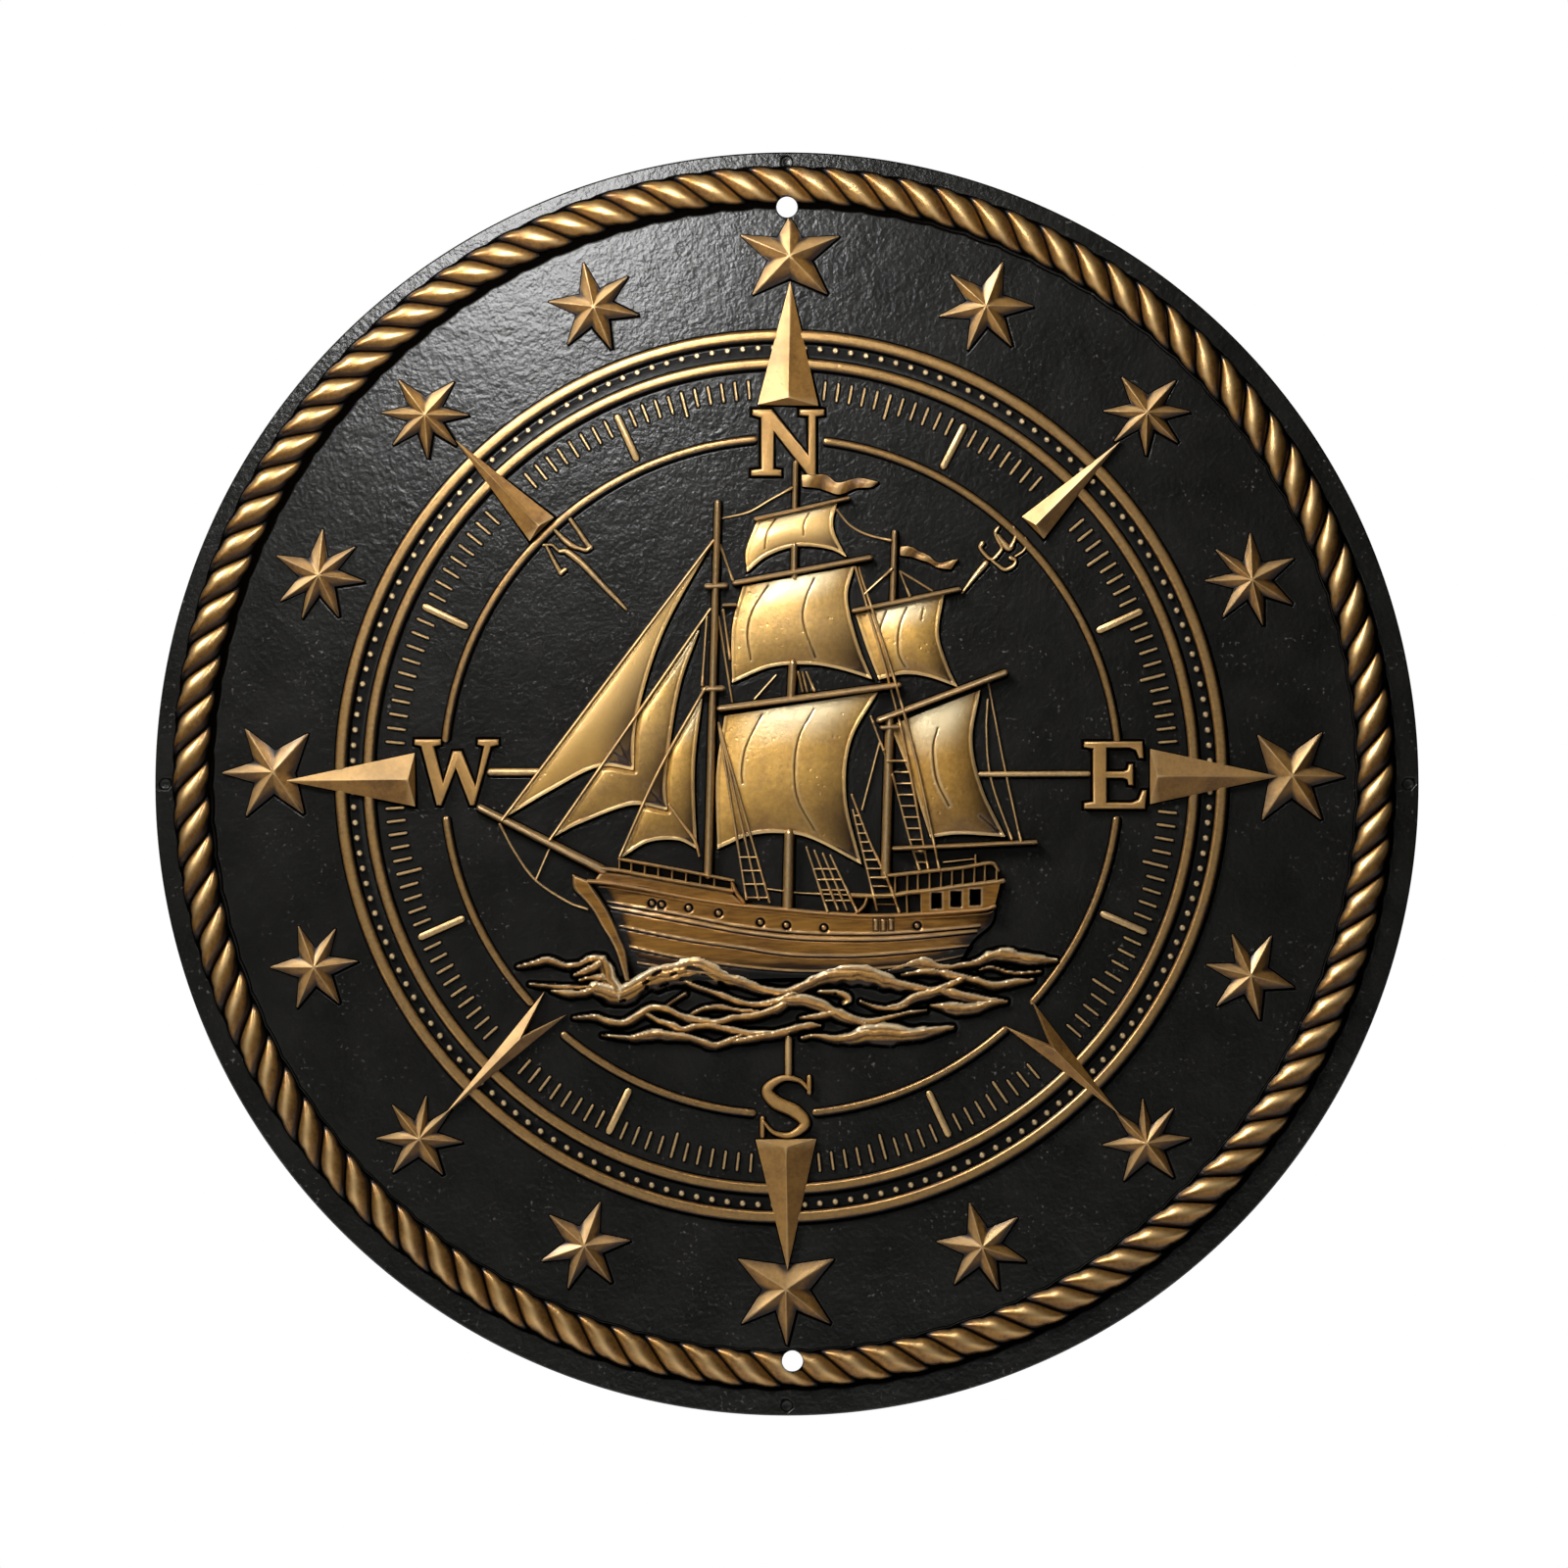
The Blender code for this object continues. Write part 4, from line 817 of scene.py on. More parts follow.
def tickBodies():
    # one upright bar of each length, copied to the directions of every run between two pointers
    directions = [[], [], []]
    for first, last, count, long, middle in dial["tickRuns"]:
        for number, direction in enumerate(np.linspace(first, last, count)):
            directions[2 if number == long else 1 if number in middle else 0].append(direction)
    bodies = []
    for these, (length, half, rise) in zip(directions, dial["ticks"]):
        turn = np.radians((0, 60, 120, 180))
        head = np.stack((half * np.cos(turn), half * np.sin(turn) - half), axis=1)
        foot = -head + (0, -length)
        ground = sheet["ground"]
        # dark ground of painted shadow round the foot, painted shade low on the wall, painted highlight on
        # top
        bar = slab(np.vstack((head, foot)), (
            (0.26, ground, 0, 0), (0.12, ground, 0.9, 0), (0, 0.04, 0.7, 0), (-0.10, rise * 0.7, 0.1, 0.1),
            (-half * 0.62, rise, 0, 0.4),
        ))
        bodies.append(copies(bar, fromTop(these, dial["tickTop"], sheet["dialCentre"]), these))
    return bodies


# Stars and pointers: flat facets with a painted highlight along the ridge from each tip to the middle

stars = {
    "circle": 121.225,
    "rise": 2.6,
    "wall": 0.5,
    "waist": 0.42,
    "blunt": 0.12,  # mm, half width of the cut tips
    "hollow": 0.10,
    "underHole": 9.4,  # length of the tip below the upper hanging hole
    # bearing, shift outwards, length of the points, their directions, shortened points
    "places": (
        (0.9, 2.3, 12.6, (0, 68, 135, 224, 293)),
        (89.9, -0.1, 12.5, (35, 91, 146, 214, 320)),
        (179.5, 0.4, 13.3, (58, 128, 179, 232, 302)),
        (270.5, -0.6, 12.2, (42, 144, 212, 269, 327)),
        (23.5, 0.5, 11.2, (21, 90, 147, 203, 258, 312)),
        (45.1, 1.2, 10.2, (42, 89, 134, 181, 228, 272, 325)),
        (67.3, -0.2, 11.1, (63, 121, 166, 218, 269, 310, 358)),
        (113.0, -0.3, 10.7, (28, 105, 168, 228, 284, 336)),
        (135.1, 1.5, 10.4, (38, 84, 142, 211, 267, 315, 355)),
        (156.9, 0.2, 10.9, (50, 108, 159, 217, 277, 344)),
        (202.8, -0.5, 10.9, (20, 84, 144, 201, 250, 311)),
        (225.0, 0.3, 10.2, (9, 47, 95, 147, 218, 270, 321)),
        (247.8, -1.4, 10.4, (29, 82, 145, 203, 270, 339)),
        (293.5, -1.4, 10.9, (5, 52, 98, 154, 201, 236, 295)),
        (315.4, -0.7, 10.3, (41, 90, 134, 176, 227, 273, 323)),
        (338.2, -1.2, 10.7, (48, 100, 157, 215, 277, 347)),
    ),
}


def facets(outline, isRidge, top, rise, wall, hollow, rows=7):
    # rings of the outline drawn in towards the top point: height rises evenly and sags a little between the
    # ridges, so that the facets are slightly hollow and the ridges stay sharp
    outline = np.asarray(outline, dtype=float)
    top = np.asarray(top, dtype=float)
    count = len(outline)
    share = np.array((0, 0.08, 0.25, 0.5, 0.75, 0.92))
    steps = len(share)
    start = np.repeat(outline, steps, axis=0)
    end = np.repeat(np.roll(outline, -1, axis=0), steps, axis=0)
    along = np.tile(share, count)[:, None]
    edge = start * (1 - along) + end * along
    noRidge = 9.0  # beyond any share of an edge
    nearStart = np.where(np.repeat(isRidge, steps), along[:, 0], noRidge)
    nearEnd = np.where(np.repeat(np.roll(isRidge, -1), steps), 1 - along[:, 0], noRidge)
    fromRidge = np.minimum(nearStart, nearEnd)
    span = np.linalg.norm(end - start, axis=1)
    depth = np.linspace(0, 1, rows + 1)[:-1, None]
    flat = edge[None] * (1 - depth[..., None]) + top * depth[..., None]
    reach = fromRidge * span * (1 - depth)
    sag = hollow * np.sin(np.pi * np.clip(fromRidge, 0, 1)) * np.minimum(1, reach / 1.5)
    height = wall + (rise - wall) * depth - sag * (1 - depth**3)
    around = count * steps
    foot = np.full((1, around), sheet["root"])
    flat = np.concatenate((flat[:1], flat))
    height = np.concatenate((foot, height))
    points = np.concatenate((flat, height[..., None]), axis=2).reshape(-1, 3)
    points = np.vstack((points, (*top, rise)))
    last = rows * around + np.arange(around)
    fan = np.stack((last, np.roll(last, -1), np.full(around, len(points) - 1)), axis=1)
    run = end - start
    outwards = np.stack((run[:, 1], -run[:, 0]), axis=1) / span[:, None]
    outwards = outwards * np.sign(np.sum(outwards * (edge - top), axis=1))[:, None]
    shadowSide = facingShadow(outwards) - facingShadow(-outwards)
    # painted highlight along the ridges and on facets facing the upper left; painted shade in the valleys
    # and on facets facing the lower right
    rubAndHighlight = np.maximum(0.5 * np.exp(-((reach / 0.42) ** 2)), 0.55 * np.clip(-shadowSide, 0, 1) ** 2)
    rubAndHighlight = np.concatenate((np.zeros((1, around)), rubAndHighlight)).ravel()
    facetShade = smoothStep(fromRidge, 0.75, 1.0) * (1 - depth) * 0.55
    facetShade = np.maximum(facetShade, 0.35 * np.clip(shadowSide, 0, 1) ** 2)
    facetShade = np.concatenate((np.ones((1, around)), facetShade)).ravel()
    faces = [gridFaces(rows + 1, around, closeColumns=True), fan, np.arange(around)[None, ::-1]]
    return makeBody(points, faces, np.append(facetShade, 0), np.append(rubAndHighlight, 1))


def starBodies():
    # tips at the listed directions, with a notch halfway between each two, at the waist's share of the reach
    bodies = []
    for number, (bearing, shift, reach, directions) in enumerate(stars["places"]):
        centre = fromTop(bearing, stars["circle"] + shift, sheet["dialCentre"])
        tips = np.array(directions, dtype=float)
        following = np.append(tips[1:], tips[0] + 360)
        lengths = np.full(len(tips), reach)
        if number == 0:
            lengths[0] = stars["underHole"]
        narrow = reach * stars["waist"]
        blunt = np.degrees(stars["blunt"] / lengths)
        tipEnds = [fromTop(tips + side * blunt, lengths, centre) for side in (-1, 1)]
        notches = fromTop((tips + following) / 2, narrow, centre)
        outline = np.stack((*tipEnds, notches), axis=1).reshape(-1, 2)
        isRidge = np.tile((True, True, False), len(tips))
        bodies.append(shadowGroundOf(outline))
        bodies.append(facets(outline, isRidge, centre, stars["rise"], stars["wall"], stars["hollow"]))
    return bodies


pointers = {
    "rise": 3.0,
    "wall": 1.35,
    # direction, tip and foot radius, width at the foot
    "plain": (
        (1.0, 117.5, 88.1, 14.4), (90.0, 118.0, 87.5, 13.1), (179.3, 117.1, 86.1, 14.4),
        (269.5, 117.8, 87.0, 12.7), (45.3, 113.0, 83.9, 7.4), (315.9, 111.2, 81.7, 8.0),
    ),
    "forked": ((135.0, 113.5, 79.3, 8.9), (224.9, 113.0, 75.9, 7.6)),
    "forkDepth": 10.5,
    "hollow": 0.16,
    "rows": 10,
}


def pointerBodies():
    # triangles from the tip to a straight foot, or to one notched to the fork's depth
    bodies = []
    for forked, places in ((False, pointers["plain"]), (True, pointers["forked"])):
        for direction, tip, foot, width in places:
            ahead = fromTop(direction, 1.0)
            right = fromTop(direction + 90, 1.0)
            outline = [ahead * tip, ahead * foot + right * width / 2, ahead * foot - right * width / 2]
            isRidge = [True, True, True]
            top = ahead * (foot + width / 8)
            if forked:
                outline.insert(2, ahead * (foot + pointers["forkDepth"]))
                isRidge.insert(2, False)
                top = ahead * (foot + pointers["forkDepth"] * 1.15)
            outline = np.array(outline) + sheet["dialCentre"]
            top = top + np.array(sheet["dialCentre"])
            rise, wall, hollow, rows = (pointers[key] for key in ("rise", "wall", "hollow", "rows"))
            body = facets(outline, np.array(isRidge), top, rise, wall, hollow, rows)
            bodies += [shadowGroundOf(outline, 0.9), body]
    return bodies


# Letters of the four main points, bars and ornaments

letters = {
    "rise": 1.85,
    "north": (0.4, 81.0),
    "east": (77.8, 2.1),
    "south": (-0.2, -76.6),
    "west": (-78.4, 2.9),
    "northOutline": (
        (-8.6, 7.9), (-4.0, 7.9), (4.7, -3.0), (4.7, 6.3), (2.6, 6.5), (2.6, 7.9), (8.5, 7.9), (8.5, 6.5),
        (6.5, 6.2), (6.5, -7.9), (4.8, -7.9), (-3.5, 2.7), (-3.5, -6.2), (-1.7, -6.5), (-1.7, -7.9),
        (-8.9, -7.9), (-8.9, -6.5), (-6.5, -6.2), (-6.5, 5.9), (-8.6, 6.5),
    ),
    "eastOutline": (
        (-7.3, 8.0), (6.6, 8.0), (6.9, 4.0), (5.8, 4.0), (5.0, 5.9), (3.4, 6.5), (-1.9, 6.5), (-1.9, 0.9),
        (2.0, 0.9), (3.0, 1.3), (3.3, 2.6), (4.4, 2.6), (4.4, -2.4), (3.3, -2.4), (3.0, -1.1), (2.0, -0.7),
        (-1.9, -0.7), (-1.9, -6.5), (4.0, -6.5), (5.6, -5.9), (6.5, -3.6), (7.6, -3.6), (7.2, -8.0),
        (-7.3, -8.0), (-7.3, -6.6), (-5.2, -6.3), (-5.2, 6.3), (-7.3, 6.6),
    ),
    "westOutline": (
        (-10.0, 7.7), (-3.7, 7.7), (-3.7, 6.4), (-5.4, 6.0), (-3.2, -2.6), (-0.9, 4.9), (1.2, 4.9),
        (4.5, -3.4), (6.5, 6.0), (5.0, 6.4), (5.0, 7.7), (10.0, 7.7), (10.0, 6.4), (8.2, 6.0), (4.2, -8.0),
        (3.2, -8.0), (-0.2, 0.9), (-3.6, -8.0), (-4.7, -8.0), (-8.4, 6.0), (-10.0, 6.4),
    ),
    "southSpine": (
        (5.3, 4.1), (3.1, 6.2), (-0.9, 6.7), (-4.4, 4.1), (-2.5, 1.1), (2.2, -1.2), (4.5, -4.1), (1.2, -6.7),
        (-2.8, -6.2), (-5.5, -3.4),
    ),
    "southHalfWidths": (0.4, 0.55, 0.8, 1.35, 1.65, 1.65, 1.35, 0.8, 0.55, 0.4),
    "southSerifs": (((5.5, 7.0), (5.5, 3.4)), ((-5.6, -6.9), (-5.6, -2.8))),
}


def letterBodies():
    # outlines stacked to rounded shoulders; the curved letter is a line whose width follows its list
    rise, ground = letters["rise"], sheet["ground"]
    # painted shadow as dark ground round each letter, painted shade at its foot, painted highlight on the
    # shoulders
    edge = (
        (0.85, ground, 0, 0), (0.45, ground, 1, 0), (0.02, ground, 1, 0), (0, 0.1, 0.5, 0),
        (-0.03, rise * 0.62, 0.1, 0.1), (-0.14, rise * 0.84, 0, 0.5), (-0.32, rise * 0.96, 0, 0.7),
        (-0.58, rise, 0, 0.3),
    )
    bodies = []
    for name in ("north", "east", "west"):
        bodies.append(slab(np.array(letters[name + "Outline"]) + letters[name], edge))
    centre = np.array(letters["south"])
    spine = centre + smoothLine(letters["southSpine"], 8)
    widths = letters["southHalfWidths"]
    half = np.interp(np.linspace(0, len(widths) - 1, len(spine)), range(len(widths)), widths)
    bodies.append(sweep(spine, half, rise, crossSection("flat", 0.8, 9)))
    for serif in letters["southSerifs"]:
        bodies.append(sweep(centre + np.array(serif), 0.6, rise - 0.1, crossSection("flat", 0.8, 7)))
    return bodies


ornaments = {
    "bars": (
        ((-70.3, 2.8), (-59.0, 2.8), 1.0), ((46.0, 2.3), (71.4, 2.4), 0.75),
        ((0.4, -60.5), (0.4, -69.0), 0.95),
    ),
    # strokes of the two small marks beside the ship, that are no letters, as (x, z, half width)
    "strokes": (
        (
            (-53.9, 55.2, 0.5), (-52.4, 55.2, 0.7), (-50.5, 53.9, 0.8), (-48.6, 52.3, 0.75),
            (-45.9, 49.5, 0.7), (-42.9, 46.3, 0.65), (-40.8, 44.2, 0.55), (-38.2, 41.5, 0.35),
        ),
        ((-51.4, 62.8, 0.5), (-49.5, 60.1, 0.55), (-47.6, 57.3, 0.6), (-46.6, 56.2, 0.6)),
        (
            (-46.6, 56.2, 0.6), (-47.6, 55.5, 0.55), (-49.2, 55.9, 0.5), (-50.9, 56.5, 0.65),
            (-52.4, 57.6, 0.7), (-53.5, 58.6, 0.6), (-55.4, 60.6, 0.4),
        ),
        ((-57.0, 56.3, 0.4), (-55.4, 53.1, 0.5), (-53.7, 50.1, 0.6)),
        ((-53.7, 50.1, 0.6), (-52.6, 50.9, 0.5)),
        ((-57.7, 56.7, 0.4), (-55.8, 56.7, 0.35), (-54.5, 55.6, 0.35), (-53.9, 55.2, 0.4)),
        (
            (46.4, 57.1, 0.65), (45.9, 56.1, 0.5), (47.2, 54.3, 0.45), (48.7, 53.3, 0.45),
            (50.2, 54.6, 0.45), (51.0, 56.1, 0.45), (50.0, 58.1, 0.45), (49.5, 59.7, 0.5),
            (50.2, 60.9, 0.4),
        ),
        (
            (50.2, 58.9, 0.45), (51.5, 57.1, 0.75), (52.8, 55.9, 0.8), (53.7, 57.2, 0.5),
            (54.3, 59.1, 0.45), (53.8, 60.9, 0.45),
        ),
        (
            (48.7, 53.1, 0.4), (50.0, 52.0, 0.42), (51.8, 50.9, 0.5), (53.8, 51.8, 0.5), (54.3, 53.1, 0.42),
            (53.2, 53.6, 0.6),
        ),
        ((54.3, 54.1, 0.28), (56.1, 55.3, 0.32), (57.1, 57.1, 0.32), (56.6, 58.4, 0.28)),
        ((47.2, 52.3, 0.75), (44.4, 49.0, 0.6), (41.6, 45.4, 0.3)),
    ),
}


def ornamentBodies():
    # bars, and strokes that rise with their width
    section = crossSection("round", 0.6, 9)
    bodies = [sweep((a, b), half, 1.15, section) for a, b, half in ornaments["bars"]]
    for stroke in ornaments["strokes"]:
        line = smoothLine(stroke, 6)
        bodies.append(sweep(line[:, :2], line[:, 2], 0.75 + 0.6 * line[:, 2], section))
    return bodies


# The ship

def distanceTo(flat, line):
    # least distance from every grid point to the segments of a line, by projecting it on each segment
    line = np.asarray(line, dtype=float)
    run = line[1:] - line[:-1]
    away = flat[..., None, :] - line[:-1]
    share = np.clip(np.sum(away * run, axis=-1) / np.sum(run * run, axis=-1), 0, 1)
    return np.min(np.linalg.norm(away - share[..., None] * run, axis=-1), axis=-1)


sailCut = {
    "edge": 1.0,
    "bulge": 1.75,
    "jibBulge": 1.575,
    "squareSeed": 40,
    "jibSeed": 60,
    "cell": 0.27,
    "jibCell": 0.36,
    "seamWidth": 0.19,
    "seamDepth": 0.3,
    "hem": 0.8,
    "hemRise": 0.28,
    "under": 0.75,  # height under the sail that lies over it
    "uneven": 0.10,
    "unevenSize": 3.1,
}
# each sail's painted light: a paler tone over all but its foot, more on the upper sails
squareSails = {
    "royal": {
        "paintedLight": 0.3,
        "head": ((-7.1, 62.4), (11.9, 66.6)),
        "right": ((10.9, 62.5), (11.5, 59.0)),
        "foot": ((-9.5, 50.3), (-4.5, 54.2), (2.5, 56.4), (9.9, 55.8), (14.1, 53.9)),
        "left": ((-9.7, 55.5),),
        "seams": (((-2.7, 62.9), (-4.7, 59.6), (-5.3, 55.7)), ((5.2, 64.4), (4.0, 61.6), (4.0, 59.0))),
    },
    "topsail": {
        "paintedLight": 0.15,
        "head": ((-10.5, 46.9), (16.0, 51.7)),
        "right": ((14.4, 44.0), (16.9, 33.3)),
        "foot": ((-13.0, 24.0), (-4.1, 27.7), (5.2, 28.4), (12.7, 27.2), (20.2, 24.9)),
        "left": ((-13.0, 37.0),),
        "seams": (
            ((-4.5, 47.0), (-8.1, 41.2), (-9.4, 35.6), (-8.5, 29.4)),
            ((6.5, 48.8), (4.4, 43.7), (3.9, 38.2), (6.8, 30.1)),
        ),
    },
    "mainCourse": {
        "paintedLight": 0.05,
        "head": ((-14.8, 16.2), (21.6, 21.8)),
        "right": ((15.2, 10.1), (14.1, -3.4)),
        "foot": ((-16.5, -15.4), (-9.1, -12.3), (-1.9, -11.6), (5.9, -13.0), (17.7, -19.1)),
        "left": ((-16.8, 2.0),),
        "seams": (
            ((-6.0, 16.4), (-9.6, 9.0), (-10.7, 3.3), (-10.5, 0.1)),
            ((6.4, 17.8), (2.9, 11.2), (1.8, 3.3), (2.7, -3.8), (6.6, -10.9)),
        ),
    },
    "mizzenTopsail": {
        "paintedLight": 0.05,
        "head": ((16.3, 40.2), (37.3, 44.9)),
        "right": ((36.0, 36.0), (38.0, 28.5)),
        "foot": ((21.8, 24.8), (28.1, 26.1), (34.0, 25.3), (40.5, 23.0)),
        "left": ((19.0, 32.0),),
        "seams": (
            ((23.6, 41.0), (21.8, 36.2)), ((28.5, 42.0), (26.7, 37.2), (26.4, 31.4), (28.1, 27.7)),
            ((32.4, 41.6), (31.9, 38.9)),
        ),
    },
    "spanker": {
        "paintedLight": 0.0,
        "head": ((24.5, 13.9), (45.9, 22.3)),
        "right": ((44.0, 10.4), (46.4, -1.0)),
        "foot": ((34.0, -12.7), (41.0, -11.9), (51.8, -12.5)),
        "left": ((29.5, 1.0),),
        "seams": (((35.8, 13.3), (34.7, 8.5), (35.5, 1.1), (38.5, -5.2)), ((46.0, -7.6), (50.2, -11.2))),
    },
}
jibs = {
    "flyingJib": {
        "paintedLight": 0.3,
        "head": ((-18.6, 56.4), (-18.0, 57.0)),
        "right": ((-29.3, 36.1), (-35.4, 16.5)),
        "foot": ((-66.8, -7.9), (-56.5, -1.8), (-45.0, 4.0), (-36.4, 3.3)),
        "seams": (((-40.3, 10.9), (-37.0, 4.6)), ((-41.5, 7.9), (-37.0, 4.6))),
    },
    "jib": {
        "paintedLight": 0.15,
        "head": ((-21.4, 36.2), (-20.8, 36.5)),
        "right": ((-25.6, 22.1), (-28.6, 2.4)),
        "foot": ((-55.8, -12.8), (-49.0, -9.3), (-37.0, -5.0), (-28.4, -6.2)),
        "seams": (((-33.5, -0.4), (-28.8, -5.4)),),
    },
    "staysail": {
        "paintedLight": 0.05,
        "head": ((-20.6, 20.0), (-20.1, 20.3)),
        "right": ((-21.9, 3.4),),
        "foot": ((-39.4, -17.6), (-33.0, -13.8), (-26.0, -13.3), (-21.4, -15.4)),
        "left": ((-31.0, 2.0),),
        "seams": (),
    },
}


def cellsOf(edges, cell):
    # cells across and down a patch: its longer head or foot, and its longer side, over the cell's size
    pairs = (("head", "foot"), ("left", "right"))
    return (int(max(lengthAlong(edgeLine(edges, side))[-1] for side in pair) / cell) for pair in pairs)


def inside(flat, outline):
    # a point is inside when a line from it to the right crosses the outline an odd number of times
    x, z = flat[..., 0], flat[..., 1]
    crossed = np.zeros(x.shape, dtype=bool)
    for (ax, az), (bx, bz) in zip(outline, np.roll(outline, -1, axis=0)):
        if az != bz:
            crossed ^= ((az > z) != (bz > z)) & (x < ax + (z - az) * (bx - ax) / (bz - az))
    return crossed


def sailBody(sail, bulge, cell, seed, over=None):
    # height = edge + bulge * sin(pi u)^0.7 * sin(pi v^1.25)^0.8, a hem along foot and leech, and seams cut
    # in where the distance to a seam's line is small; it dives under the sail that lies over it
    flat, u, v = patchGrid(sail, *cellsOf(sail, cell))
    belly = np.sin(math.pi * u) ** 0.7 * np.sin(math.pi * v**1.25) ** 0.8
    height = sailCut["edge"] + bulge * belly
    # painted shade towards the foot and the right edge, painted highlight along the upper middle and, by the
    # sail's painted light, over all but its foot
    shadeAndDirt = 0.50 * smoothStep(v + 0.25 * u, 0.55, 1.1) * smoothStep(v, 0.2, 0.6)
    shadeAndDirt = shadeAndDirt + 0.32 * smoothStep(u, 0.6, 1.0)
    rubAndHighlight = smoothStep(v, 0.42, 0.04) * smoothStep(u, 0.0, 0.4) * smoothStep(u, 1.05, 0.65)
    rubAndHighlight = np.maximum(rubAndHighlight, sail["paintedLight"] * smoothStep(v, 1.1, 0.6))
    for side, strength in (("foot", 1.0), ("right", 0.75), ("left", 0.5)):
        away = distanceTo(flat, smoothLine(edgeLine(sail, side), 10))
        # each hem: a raised band with painted highlight, and painted shadow in the dip beyond it
        band = smoothStep(away, sailCut["hem"], sailCut["hem"] * 0.6) * strength
        trench = np.exp(-(((away - sailCut["hem"] * 1.2) / 0.2) ** 2)) * strength
        height = height + sailCut["hemRise"] * band - 0.12 * trench
        rubAndHighlight = np.maximum(rubAndHighlight, 0.45 * band)
        shadeAndDirt = np.maximum(shadeAndDirt * (1 - 0.7 * band), 0.42 * trench)
    for line in sail["seams"]:
        away = distanceTo(flat, smoothLine(line, 8))
        # painted shade in the seam and painted highlight just beside it
        cut = np.exp(-((away / sailCut["seamWidth"]) ** 2))
        height = height - sailCut["seamDepth"] * cut
        shadeAndDirt = np.maximum(shadeAndDirt, 0.85 * cut)
        rubAndHighlight = np.maximum(rubAndHighlight * (1 - cut), 0.35 * np.exp(-(((away - 0.6) / 0.25) ** 2)))
    uneven = softNoise(flat[..., 0], flat[..., 1], sailCut["unevenSize"], seed) - 0.5
    height = height + sailCut["uneven"] * uneven
    if over is not None:
        away = np.where(inside(flat, over), 0, distanceTo(flat, np.vstack((over, over[:1]))))
        # painted shadow where the sail dives under the one over it
        clear = smoothStep(away, 0.0, 1.3)
        height = sailCut["under"] + (height - sailCut["under"]) * clear
        shadeAndDirt = np.maximum(shadeAndDirt, 0.35 * (1 - smoothStep(away, 0.1, 1.3)))
        rubAndHighlight = rubAndHighlight * clear
    return [shadowGroundOf(outlineOf(sail), 0.9), puffed(flat, height, shadeAndDirt, rubAndHighlight)]


def plate(edges, rise, cell, ends=0.5):
    # a flat board between four edges with its own edges rounded off, a little grain along it, and a painted
    # highlight just inside its edges
    flat, u, v = patchGrid(edges, *(max(count, 4) for count in cellsOf(edges, cell)))
    border = outlineOf(edges)
    away = distanceTo(flat, np.vstack((border, border[:1])))
    height = rise * (1 - ends * np.exp(-away / 0.14)) + 0.06 * softNoise(flat[..., 0], flat[..., 1], 0.9, 17)
    return puffed(flat, height, 0.12 + 0 * u * v, 0.55 * np.exp(-(((away - 0.35) / 0.22) ** 2)))


def outlineOf(edges):
    # the four edges in one loop: head, right, foot backwards, left backwards
    sides = [smoothLine(edgeLine(edges, side), 8) for side in ("head", "right", "foot", "left")]
    return np.vstack((sides[0][:-1], sides[1][:-1], sides[2][::-1][:-1], sides[3][::-1][:-1]))


